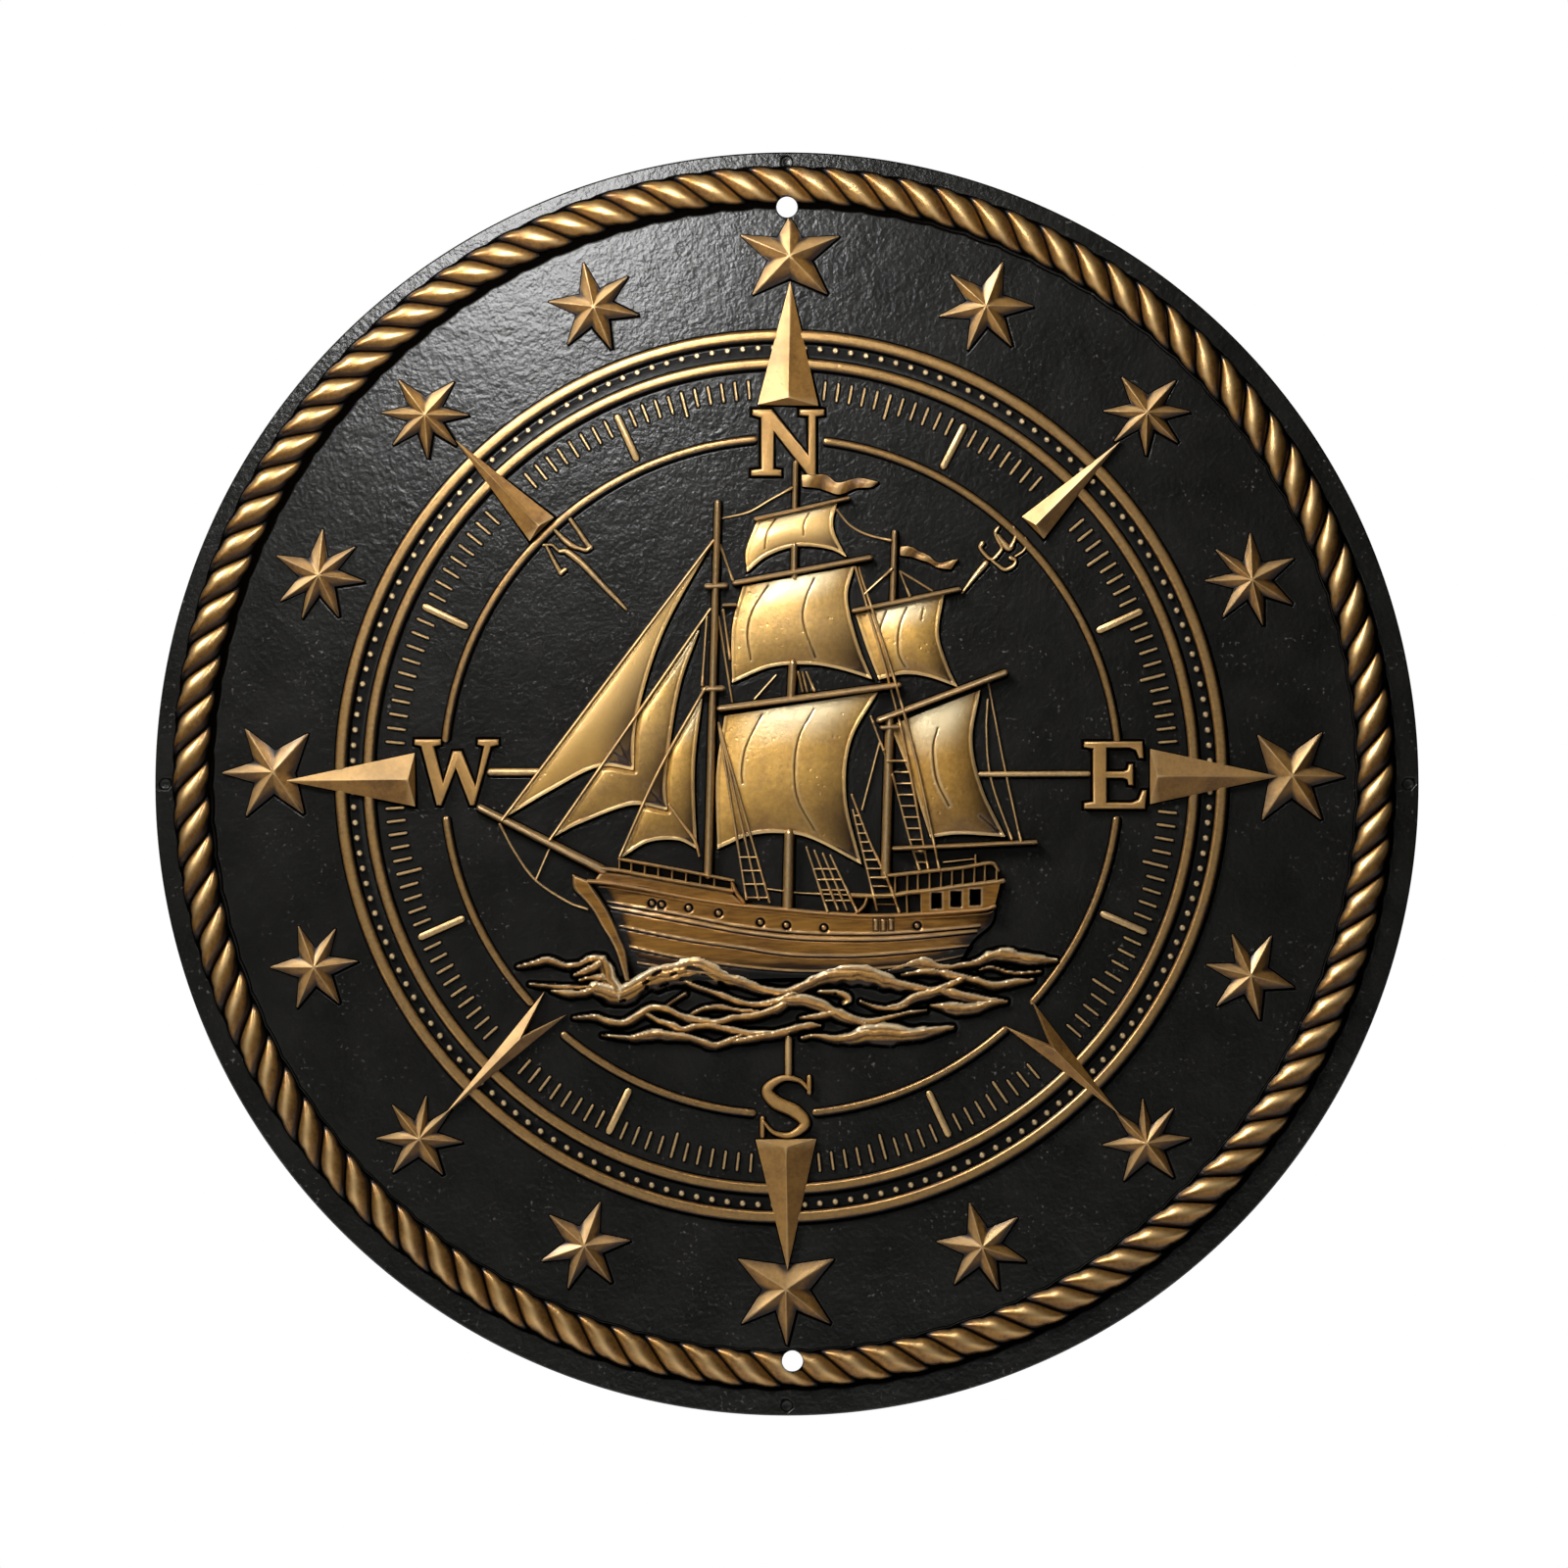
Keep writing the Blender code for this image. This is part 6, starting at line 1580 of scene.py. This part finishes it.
waves = {
    "rise": 2.35,
    "highest": 3.0,
    "cell": 0.29,
    "size": (132, 22),  # mm, length and height of the field, for its cells
    "widen": (1.25, 0.15),  # a ribbon's half width is its listed one times the first plus the second
    "near": 3.5,  # points this far round a ribbon are tried
    "seed": 77,
    "ragged": (1.9, 0.40, 0.3),  # size of the raggedness, its shares of the width and of the rise
    "fold": (0.22, 4.4, 2.5),  # depth of the folds, their number per mm in radians, their waver
    "foamDepth": 0.75,
    "field": {
        "head": (
            (-66.0, -40.8), (-52.0, -39.6), (-44.0, -38.8), (-30.0, -40.5), (0.0, -41.5), (30.0, -40.2),
            (50.0, -38.2), (66.0, -40.0),
        ),
        "right": ((64.6, -43.5), (60.5, -50.5)),
        "foot": ((-51.0, -61.5), (-30.0, -64.2), (0.0, -62.6), (30.0, -62.6), (51.0, -60.5)),
        "left": ((-64.6, -45.0), (-60.0, -51.5)),
    },
    # points along each ribbon as (x, z, width)
    "ribbons": {
        "farLeft": (
            (-63.8, -43.4, 0.4), (-60.3, -42.7, 0.9), (-56.7, -41.9, 1.4), (-52.7, -43.2, 1.2),
            (-49.1, -42.7, 1.2), (-46.5, -41.6, 1.6), (-43.8, -41.9, 2.1),
        ),
        "splash": ((-43.8, -41.9, 1.9), (-42.8, -44.1, 2.6), (-42.6, -46.5, 3.5), (-41.2, -48.9, 4.2)),
        "bowWave": (
            (-45.8, -48.4, 2.3), (-43.0, -49.6, 3.5), (-39.8, -50.3, 4.0), (-36.1, -48.6, 4.0),
            (-32.6, -46.5, 4.4), (-29.6, -45.4, 5.1), (-25.8, -44.7, 5.6), (-22.1, -43.5, 5.6),
            (-18.8, -44.4, 4.7), (-14.9, -46.1, 3.5), (-11.2, -47.0, 2.3), (-7.4, -48.4, 1.9),
            (-3.7, -49.3, 1.6), (-0.7, -49.8, 1.6),
        ),
        "lowPairA": ((-61.0, -47.6, 0.4), (-55.8, -48.1, 0.8), (-50.0, -48.3, 0.8), (-46.5, -48.1, 0.5)),
        "lowPairB": ((-55.8, -49.2, 0.4), (-51.8, -49.9, 1.2), (-48.2, -49.7, 1.4), (-45.8, -48.8, 1.4)),
        "middleLeft": (
            (-50.5, -55.6, 0.4), (-45.6, -55.4, 1.2), (-42.0, -56.5, 1.4), (-38.5, -56.8, 1.4),
            (-34.9, -54.8, 1.6), (-31.8, -53.2, 1.4), (-28.2, -53.7, 1.2), (-25.1, -55.2, 1.4),
            (-21.5, -56.1, 1.6), (-17.1, -56.8, 1.6), (-12.6, -55.6, 1.4), (-8.2, -55.2, 1.4),
            (-3.7, -53.9, 1.6), (-0.7, -52.5, 1.9),
        ),
        "middleLeftLow": (
            (-33.7, -54.5, 0.7), (-30.5, -56.3, 1.2), (-27.3, -57.4, 1.4), (-24.7, -58.4, 1.4),
            (-21.5, -57.6, 1.4), (-17.1, -57.6, 1.2), (-13.1, -58.5, 1.4), (-8.2, -59.4, 1.4),
            (-4.2, -59.3, 1.4), (-0.7, -59.1, 1.2),
        ),
        "lowLeft": (
            (-43.8, -59.7, 0.4), (-39.3, -60.1, 0.7), (-36.7, -60.3, 1.2), (-32.7, -59.6, 2.3),
            (-30.4, -59.5, 2.1), (-27.8, -59.8, 1.9), (-23.3, -60.3, 1.2), (-21.1, -61.0, 1.4),
            (-17.1, -62.1, 1.4), (-13.1, -60.8, 1.2), (-10.7, -59.6, 0.5),
        ),
        "crestRight": (
            (-3.0, -49.6, 1.4), (0.5, -49.4, 1.9), (5.8, -47.2, 2.3), (10.2, -45.6, 3.5),
            (13.9, -45.0, 4.2), (18.8, -45.3, 4.4), (21.9, -46.3, 3.5), (25.9, -47.5, 2.6),
            (30.4, -48.4, 1.6), (34.8, -49.0, 0.9),
        ),
        "quarter": (
            (23.7, -44.5, 0.5), (28.2, -43.2, 1.4), (30.7, -42.6, 2.8), (33.5, -42.9, 3.3),
            (35.8, -43.7, 2.3), (38.9, -43.6, 1.2), (41.9, -43.0, 1.2), (45.1, -42.3, 1.4),
            (48.6, -40.8, 2.1), (51.7, -40.6, 3.0), (54.8, -41.2, 2.6), (59.3, -41.7, 2.1),
            (63.8, -41.9, 0.7),
        ),
        "quarterLow": (
            (27.2, -45.4, 0.5), (31.4, -44.8, 1.2), (35.3, -44.7, 1.4), (39.3, -45.6, 1.6),
            (44.2, -46.5, 1.4), (49.1, -47.9, 1.6), (54.4, -47.0, 1.4), (58.4, -46.5, 0.5),
        ),
        "quarterLine": ((45.9, -44.1, 0.4), (48.6, -43.6, 0.7), (54.0, -45.0, 0.7), (60.2, -44.5, 0.4)),
        "rightMiddle": (
            (23.7, -53.2, 0.7), (27.2, -52.5, 1.4), (30.4, -50.7, 1.9), (34.8, -49.4, 1.9),
            (38.4, -47.9, 1.6), (41.5, -46.5, 1.2),
        ),
        "rightBranch": (
            (35.4, -48.9, 0.9), (38.4, -49.4, 1.9), (42.4, -50.5, 2.1), (47.2, -51.4, 1.6),
            (52.1, -51.7, 0.5),
        ),
        "rightLine": ((17.5, -51.7, 0.5), (21.0, -53.0, 0.9), (25.5, -53.4, 0.9), (28.4, -52.6, 0.7)),
        "rightBelly": (
            (34.2, -52.6, 0.5), (38.4, -53.1, 2.1), (41.5, -53.5, 2.6), (44.6, -53.3, 2.1),
            (48.6, -52.0, 1.4), (52.1, -51.6, 0.5),
        ),
        "middleRight": (
            (-3.0, -52.1, 1.6), (-0.3, -51.4, 2.1), (3.7, -51.4, 2.3), (7.7, -52.6, 2.6), (11.2, -54.2, 2.3),
            (14.8, -55.8, 1.9), (18.3, -57.0, 0.9),
        ),
        "middleRightLow": (
            (3.2, -55.6, 0.5), (7.7, -55.2, 1.2), (11.2, -54.5, 1.4), (14.8, -55.6, 1.4), (19.2, -56.5, 1.4),
            (24.6, -55.4, 0.9), (29.0, -54.3, 0.7), (33.0, -53.8, 0.4),
        ),
        "lowMiddle": ((-3.0, -59.4, 1.2), (1.4, -58.3, 1.4), (5.0, -57.4, 1.4), (7.7, -57.4, 0.7)),
        "lowRight": (
            (3.7, -60.3, 0.5), (6.7, -59.8, 0.9), (11.2, -60.5, 1.4), (14.8, -60.3, 2.3),
            (17.5, -59.6, 3.3), (21.9, -59.1, 4.4), (25.5, -59.3, 4.2), (29.0, -59.6, 2.8),
            (34.8, -58.6, 1.9), (39.3, -57.8, 0.7),
        ),
        "curl": (
            (7.7, -49.4, 0.7), (10.3, -49.4, 0.9), (13.0, -49.9, 1.2), (14.6, -51.0, 1.2),
            (13.5, -51.9, 0.7),
        ),
        "foamLine": ((-29.6, -53.4, 0.4), (-26.3, -51.2, 0.5), (-24.0, -49.8, 0.5)),
        "underBow": (
            (-24.6, -46.8, 0.6), (-21.2, -48.3, 1.0), (-16.1, -50.0, 1.1), (-11.5, -51.8, 1.2),
            (-6.4, -52.5, 1.4), (-1.8, -51.4, 1.6), (1.6, -50.0, 1.6),
        ),
        "froth": (
            (-24.0, -55.6, 0.5), (-20.4, -53.6, 0.9), (-16.0, -53.0, 1.0), (-11.5, -53.8, 0.9),
            (-7.0, -54.0, 0.7),
        ),
        "spray": ((-50.2, -45.4, 0.7), (-47.4, -44.3, 1.3), (-45.4, -43.4, 1.4), (-44.2, -42.6, 1.6)),
        "sprayLow": ((-49.0, -46.6, 0.5), (-46.6, -46.0, 1.0), (-44.2, -46.2, 1.8)),
        "besideHull": ((-9.4, -45.6, 0.4), (-6.2, -44.6, 0.7), (-2.6, -44.3, 0.7), (-0.4, -44.6, 0.4)),
        "bridge": ((-15.0, -61.6, 0.6), (-10.0, -60.8, 1.1), (-5.0, -59.8, 1.4), (0.0, -59.0, 1.4)),
    },
    # hollows in the foam, dark with painted shade: middle, half length, half width, slope in degrees
    "foam": (
        (-30.9, -44.9, 1.4, 0.45, 30), (-22.8, -43.7, 1.1, 0.6, 0), (-33.3, -48.3, 0.7, 0.4, 45),
        (-33.5, -47.0, 0.9, 0.35, 30), (-29.2, -47.7, 1.3, 0.35, 20), (-24.7, -46.3, 0.8, 0.4, 0),
        (-15.2, -47.6, 1.5, 0.45, -35), (-11.5, -48.7, 1.6, 0.4, -30), (-19.4, -45.6, 1.0, 0.35, -25),
        (-39.0, -51.4, 0.9, 0.3, 10), (-26.9, -45.0, 0.9, 0.3, 15), (11.4, -49.8, 0.45, 0.3, 0),
    ),
}


waveProfile = {  # across a ribbon, from its lower edge at -1 to its upper edge at 1
    "share": (-1.0, -0.9, -0.7, -0.35, 0.1, 0.45, 0.68, 0.88, 1.0),
    "height": (0.0, 0.26, 0.50, 0.72, 0.90, 1.0, 0.96, 0.60, 0.0),
    # painted shade at both edges, most at the lower one, and painted highlight along the crest
    "shadeAndDirt": (0.9, 0.6, 0.42, 0.22, 0.06, 0.0, 0.0, 0.05, 0.8),
    "rubAndHighlight": (0.0, 0.0, 0.0, 0.0, 0.0, 0.15, 0.9, 0.9, 0.0),
}


def waveBodies():
    # each point takes the ribbon that stands highest there; its share across is the signed distance from the
    # ribbon's middle line over half the ribbon's width
    flat = patchGrid(waves["field"], *(int(size / waves["cell"]) for size in waves["size"]))[0]
    spots = flat.reshape(-1, 2)
    height = np.full(len(spots), sheet["ground"])
    shadeAndDirt = np.zeros(len(spots))
    rubAndHighlight = np.zeros(len(spots))
    widen, extra = waves["widen"]
    raggedSize, raggedWidth, raggedRise = waves["ragged"]
    foldDepth, foldTurns, foldWaver = waves["fold"]
    for number, line in enumerate(waves["ribbons"].values()):
        line = smoothLine(line, 5)
        middle, half = line[:, :2], line[:, 2] / 2 * widen + extra
        low, high = middle.min(axis=0) - waves["near"], middle.max(axis=0) + waves["near"]
        near = np.flatnonzero(np.all((spots > low) & (spots < high), axis=1))
        run = np.diff(middle, axis=0)
        away = spots[near][:, None] - middle[:-1]
        along = np.clip(np.sum(away * run, axis=-1) / np.sum(run * run, axis=-1), 0, 1)
        offset = away - along[..., None] * run
        nearest = np.argmin(np.linalg.norm(offset, axis=-1), axis=1)
        pick = np.arange(len(near))
        share, offset, run = along[pick, nearest], offset[pick, nearest], run[nearest]
        width = half[nearest] * (1 - share) + half[nearest + 1] * share
        side = np.sign(run[:, 0] * offset[:, 1] - run[:, 1] * offset[:, 0])
        distance = np.linalg.norm(offset, axis=1)
        ragged = softNoise(spots[near, 0], spots[near, 1], raggedSize, waves["seed"] + number) - 0.5
        width = width * (1 + raggedWidth * ragged)
        top = waves["rise"] * (0.5 + 0.5 * np.minimum(1, width / 1.2)) + raggedRise * ragged
        across = np.clip(side * distance / width, -1, 1)
        shape, dark, bright = (
            np.interp(across, waveProfile["share"], waveProfile[key]) for key in ("height", "shadeAndDirt", "rubAndHighlight")
        )
        fold = foldDepth * np.sin(side * distance * foldTurns + foldWaver * ragged)
        fold = fold * smoothStep(width, 0.8, 1.5)
        taller = np.where(distance < width, top * shape + fold * shape, 0)
        outside = distance >= width
        # painted shade in the folds' hollows, and dark ground of painted shadow just outside each ribbon
        dark = dark + 1.6 * np.maximum(0, -fold)
        dark = np.where(outside, smoothStep(distance - width, 1.1, 0.5), dark)
        wins = taller > height[near]
        shadowWash = outside & (height[near] < 0.05)
        shadeAndDirt[near] = np.where(wins, dark, np.where(shadowWash, np.maximum(shadeAndDirt[near], dark), shadeAndDirt[near]))
        rubAndHighlight[near] = np.where(wins, bright, rubAndHighlight[near])
        height[near] = np.maximum(height[near], taller)
    for x, z, long, wide, slope in waves["foam"]:
        turn = math.radians(slope)
        ahead = ((spots[:, 0] - x) * math.cos(turn) + (spots[:, 1] - z) * math.sin(turn)) / long
        aside = ((spots[:, 1] - z) * math.cos(turn) - (spots[:, 0] - x) * math.sin(turn)) / wide
        well = smoothStep(np.hypot(ahead, aside), 1.25, 0.75) * (height > 0.05)
        height = height - waves["foamDepth"] * well * np.minimum(1, height)
        shadeAndDirt = np.maximum(shadeAndDirt, well)
        rubAndHighlight = rubAndHighlight * (1 - well)
    height = np.clip(height, sheet["ground"], waves["highest"]).reshape(flat.shape[:2])
    return [puffed(flat, height, shadeAndDirt.reshape(height.shape), rubAndHighlight.reshape(height.shape))]


# The sheet itself: enamelled front, bare back pressed in behind the relief

shadowWash = {  # painted shadow cast below and right of the forms, and the light pressing behind them
    "highest": 2.4,  # relief above this counts no further
    "shift": 0.7,  # the painted shadow falls this far below and right of each form
    "fade": (0.3, 1.3),
    "strength": 0.8,
    "beadFade": (2.3, 1.7),  # distances from the beads' circle, over which painted shade darkens the channel
    "beadStrength": 0.7,
    "blur": 2,
    "pressed": (0.2, 2.6),  # relief that leaves no hollow, and the most that counts above it
}


def frontSheet():
    # rings of points from the middle out to the bevelled rim, closed by a flat underside
    rings, steps = sheet["rings"], sheet["around"]
    flatRadii = np.linspace(1, sheet["radius"] - sheet["edgeBevel"], rings)
    radii = np.concatenate((flatRadii, (sheet["radius"],) * 2))
    heights = np.concatenate((np.zeros(rings), (-sheet["edgeBevel"], sheet["root"])))
    angle = np.arange(steps) * 360 / steps
    flat = fromTop(angle[None, :], radii[:, None])
    # painted cast shadow: the relief, blurred and shifted towards the lower right, darkens the enamel;
    # painted shade also in the bead channel
    soft = blurred(np.minimum(relief["map"], shadowWash["highest"]), shadowWash["blur"])
    x, z = cellOf(flat[..., 0] - shadowWash["shift"], flat[..., 1] + shadowWash["shift"])
    shadeAndDirt = shadowWash["strength"] * smoothStep(soft[x, z], *shadowWash["fade"])
    fromBeads = np.abs(np.linalg.norm(flat - sheet["dialCentre"], axis=-1) - dial["beadRadius"])
    shadeAndDirt = np.maximum(shadeAndDirt, shadowWash["beadStrength"] * smoothStep(fromBeads, *shadowWash["beadFade"]))
    points = np.concatenate((flat, np.broadcast_to(heights[:, None, None], (*shadeAndDirt.shape, 1))), axis=2)
    return makeBody(points.reshape(-1, 3), stackFaces(len(radii), steps), shadeAndDirt.ravel(), 0)


def backSheet():
    # a square grid bent into a disc, level by level, pushed in where the front is raised, with its border
    # carried round the bevel to the middle of the sheet
    count = sheet["pressCells"]
    inner = sheet["radius"] - sheet["edgeBevel"]
    a, b = np.meshgrid(np.linspace(-1, 1, count + 1), np.linspace(-1, 1, count + 1))
    wide = np.abs(a) > np.abs(b)
    reach = np.where(wide, a, b)
    other = np.where(wide, b, a)
    angle = math.pi / 4 * other / np.where(reach == 0, 1, reach)
    angle = np.where(wide, angle, math.pi / 2 - angle)
    radius = reach * inner
    flat = np.stack((radius * np.cos(angle), radius * np.sin(angle)), axis=2)
    x, z = cellOf(flat[..., 0], flat[..., 1])
    least, most = shadowWash["pressed"]
    pressed = blurred(np.clip(relief["map"] - least, 0, most), shadowWash["blur"])[x, z]
    height = -sheet["thickness"] + sheet["pressShare"] * pressed
    points = np.concatenate((flat, height[..., None]), axis=2).reshape(-1, 3)
    rim = rimOf(count + 1, count + 1)
    outer = points[rim] * sheet["radius"] / inner
    outer[:, 2] = -sheet["thickness"] + sheet["edgeBevel"]
    upper = outer.copy()
    upper[:, 2] = sheet["root"]
    ringOne = len(points) + np.arange(len(rim))
    ringTwo = ringOne + len(rim)
    pairs = ((rim, ringOne), (ringOne, ringTwo))
    walls = [np.stack((p, q, np.roll(q, -1), np.roll(p, -1)), axis=1) for p, q in pairs]
    faces = [gridFaces(count + 1, count + 1), *walls, ringTwo[None, ::-1]]
    return makeBody(np.vstack((points, outer, upper)), faces)


dents = {"radius": 1.4, "depth": 0.42, "fromCentre": 147.6, "sides": 24, "rows": 15}


def cutWith(piece, cutter):
    # takes the cutter's solid out of the piece and keeps the result as the piece's own mesh
    cut = piece.modifiers.new("cut", "BOOLEAN")
    cut.operation = "DIFFERENCE"
    cut.solver = "MANIFOLD"
    cut.object = cutter
    made = bpy.data.meshes.new_from_object(piece.evaluated_get(bpy.context.evaluated_depsgraph_get()))
    piece.modifiers.remove(cut)
    print(f"{piece.name} cut: {len(made.polygons)} faces")
    piece.data = made
    made.set_sharp_from_angle(angle=sharpAngle)


def ball(radius, lift, sides, rows):
    # a ball whose middle stands lift above the face: radius times cosine and sine of even tilts
    tilt = np.linspace(-math.pi / 2, math.pi / 2, rows + 2)[1:-1]
    return turned(radius * np.cos(tilt), lift + radius * np.sin(tilt), sides)


# Building

paint = {name: agedBronze(name + "Bronze", {**bronze, **finish}) for name, finish in bronzeFinishes.items()}
enamelPaint = blackEnamel()
raised = {
    "rope": (paint["rope"], [ropeBody()]),
    "dialRings": (paint["ring"], dialBodies()),
    "beads": (paint["fine"], beadBodies()),
    "ticks": (paint["fine"], tickBodies()),
    "stars": (paint["facet"], starBodies()),
    "pointers": (paint["facet"], pointerBodies()),
    "letters": (paint["letter"], letterBodies()),
    "ornaments": (paint["fine"], ornamentBodies()),
    "hull": (paint["plank"], hullBodies()),
    "spars": (paint["spar"], sparBodies()),
    "rails": (paint["fine"], railBodies()),
    "waves": (paint["wave"], waveBodies()),
    "pennants": (paint["facet"], pennantBodies()),
}
# painted light: these sails take the darker or brighter copy of the sail paint
litAndShadedSailPaints = {"royal": paint["jib"], "flyingJib": paint["jib"], "spanker": paint["spanker"]}
for number, (name, sail) in enumerate(squareSails.items()):
    bodies = sailBody(sail, sailCut["bulge"], sailCut["cell"], sailCut["squareSeed"] + number)
    raised[name] = (litAndShadedSailPaints.get(name, paint["sail"]), bodies)
upperSail = None
for number, (name, sail) in enumerate(jibs.items()):
    bodies = sailBody(sail, sailCut["jibBulge"], sailCut["jibCell"], sailCut["jibSeed"] + number, upperSail)
    raised[name] = (litAndShadedSailPaints.get(name, paint["sail"]), bodies)
    upperSail = outlineOf(sail)
for material, bodies in raised.values():
    noteRelief(bodies)
raised["rigging"] = (paint["fine"], riggingBodies())
print("relief worked out")

pieces = {}
for name, (material, bodies) in raised.items():
    pieces[name] = addPiece(name, bodies, material)
pieces["ropeLip"] = addPiece("ropeLip", [ropeLip()], enamelPaint)
pieces["sheet"] = addPiece("sheet", [frontSheet()], enamelPaint)
pieces["sheetBack"] = addPiece("sheetBack", [backSheet()], bareTin())
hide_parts("tin_sign")

holePunch = turned((sheet["holeRadius"],) * 2, (-3, 6), 64)
# radius of a dent's ball = (half the dent's width squared + its depth squared) / (twice its depth)
ballRadius = (dents["radius"] ** 2 + dents["depth"] ** 2) / (2 * dents["depth"])
dentPunch = ball(ballRadius, ballRadius - dents["depth"], dents["sides"], dents["rows"])
dentPlaces = fromTop(np.arange(4) * 90, dents["fromCentre"])
punches = (
    ("holeCutter", copies(holePunch, sheet["holes"]), ("rope", "ropeLip", "sheet", "sheetBack", "stars")),
    ("dentCutter", copies(dentPunch, dentPlaces), ("sheet",)),
)
for name, body, marked in punches:
    cutter = addPiece(name, [body], enamelPaint)
    for piece in marked:
        cutWith(pieces[piece], cutter)
    bpy.data.objects.remove(cutter)
print("holes and nail dents cut")


# Floor, light and camera

studio = {
    "floorHeight": -0.26,
    "floorHalf": 0.6,
    "floorColour": (0.75, 0.75, 0.75, 1),
    "lights": {
        "sheen": {"place": (-0.068, -0.17, 0.158), "size": 0.09, "watts": 0.46, "aim": (-0.055, 0, 0.125)},
        "key": {"place": (-1.5, -1.15, 1.65), "size": 0.6, "watts": 60.0, "aim": (0, 0, 0)},
        "fill": {"place": (-0.6, -2.2, 0.9), "size": 1.0, "watts": 0.6, "aim": (0, 0, 0)},
        "behind": {"place": (1.0, 2.0, 1.1), "size": 1.2, "watts": 45.0, "aim": (0, 0, 0)},
    },
    "surround": 0.03,  # strength of the white world, which the camera sees at full strength
    "camera": (-0.0007, -2.0, 0),
    "sensor": 36,
    "frameWidth": 0.3723,  # width of the picture at the sign's face
}


def stand(thing):
    # puts an object in the scene's own collection
    bpy.context.scene.collection.objects.link(thing)
    return thing


for name, settings in studio["lights"].items():
    lamp = bpy.data.lights.new(name, "AREA")
    lamp.shape = "DISK"
    lamp.size = settings["size"]
    lamp.energy = settings["watts"]
    light = stand(bpy.data.objects.new(name, lamp))
    light.location = settings["place"]
    light.rotation_euler = (Vector(settings["aim"]) - light.location).to_track_quat("-Z", "Y").to_euler()
    light.visible_camera = False

half = studio["floorHalf"]
corners = [(x * half, y * half, studio["floorHeight"]) for x, y in ((-1, -1), (1, -1), (1, 1), (-1, 1))]
floorMesh = bpy.data.meshes.new("floor")
floorMesh.from_pydata(corners, [], [(0, 1, 2, 3)])
floorPaint = bpy.data.materials.new("paleFloor")
floorPaint.use_nodes = True
floorPaint.node_tree.nodes["Principled BSDF"].inputs["Base Color"].default_value = studio["floorColour"]
floorMesh.materials.append(floorPaint)
stand(bpy.data.objects.new("floor", floorMesh))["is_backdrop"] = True

world = bpy.data.worlds.new("studio")
world.use_nodes = True
bpy.context.scene.world = world
tree = world.node_tree
seen = Shade(tree).make("ShaderNodeLightPath")
level = seen * (1 - studio["surround"]) + studio["surround"]
feed(tree, tree.nodes["Background"], {"Strength": level, "Color": (1, 1, 1, 1)})

lens = bpy.data.cameras.new("camera")
lens.sensor_width = studio["sensor"]
lens.lens = studio["sensor"] * (-studio["camera"][1] - sheet["thickness"] * mm) / studio["frameWidth"]
camera = stand(bpy.data.objects.new("camera", lens))
camera.location = studio["camera"]
camera.rotation_euler = (math.pi / 2, 0, 0)
bpy.context.scene.camera = camera
bpy.context.scene.view_settings.view_transform = "Standard"
print("studio set")

plain = lambda box: [list(map(float, corner)) for corner in box]
bpy.context.view_layer.update()
{"cad": plain(cadBox), "visual": plain(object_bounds())}
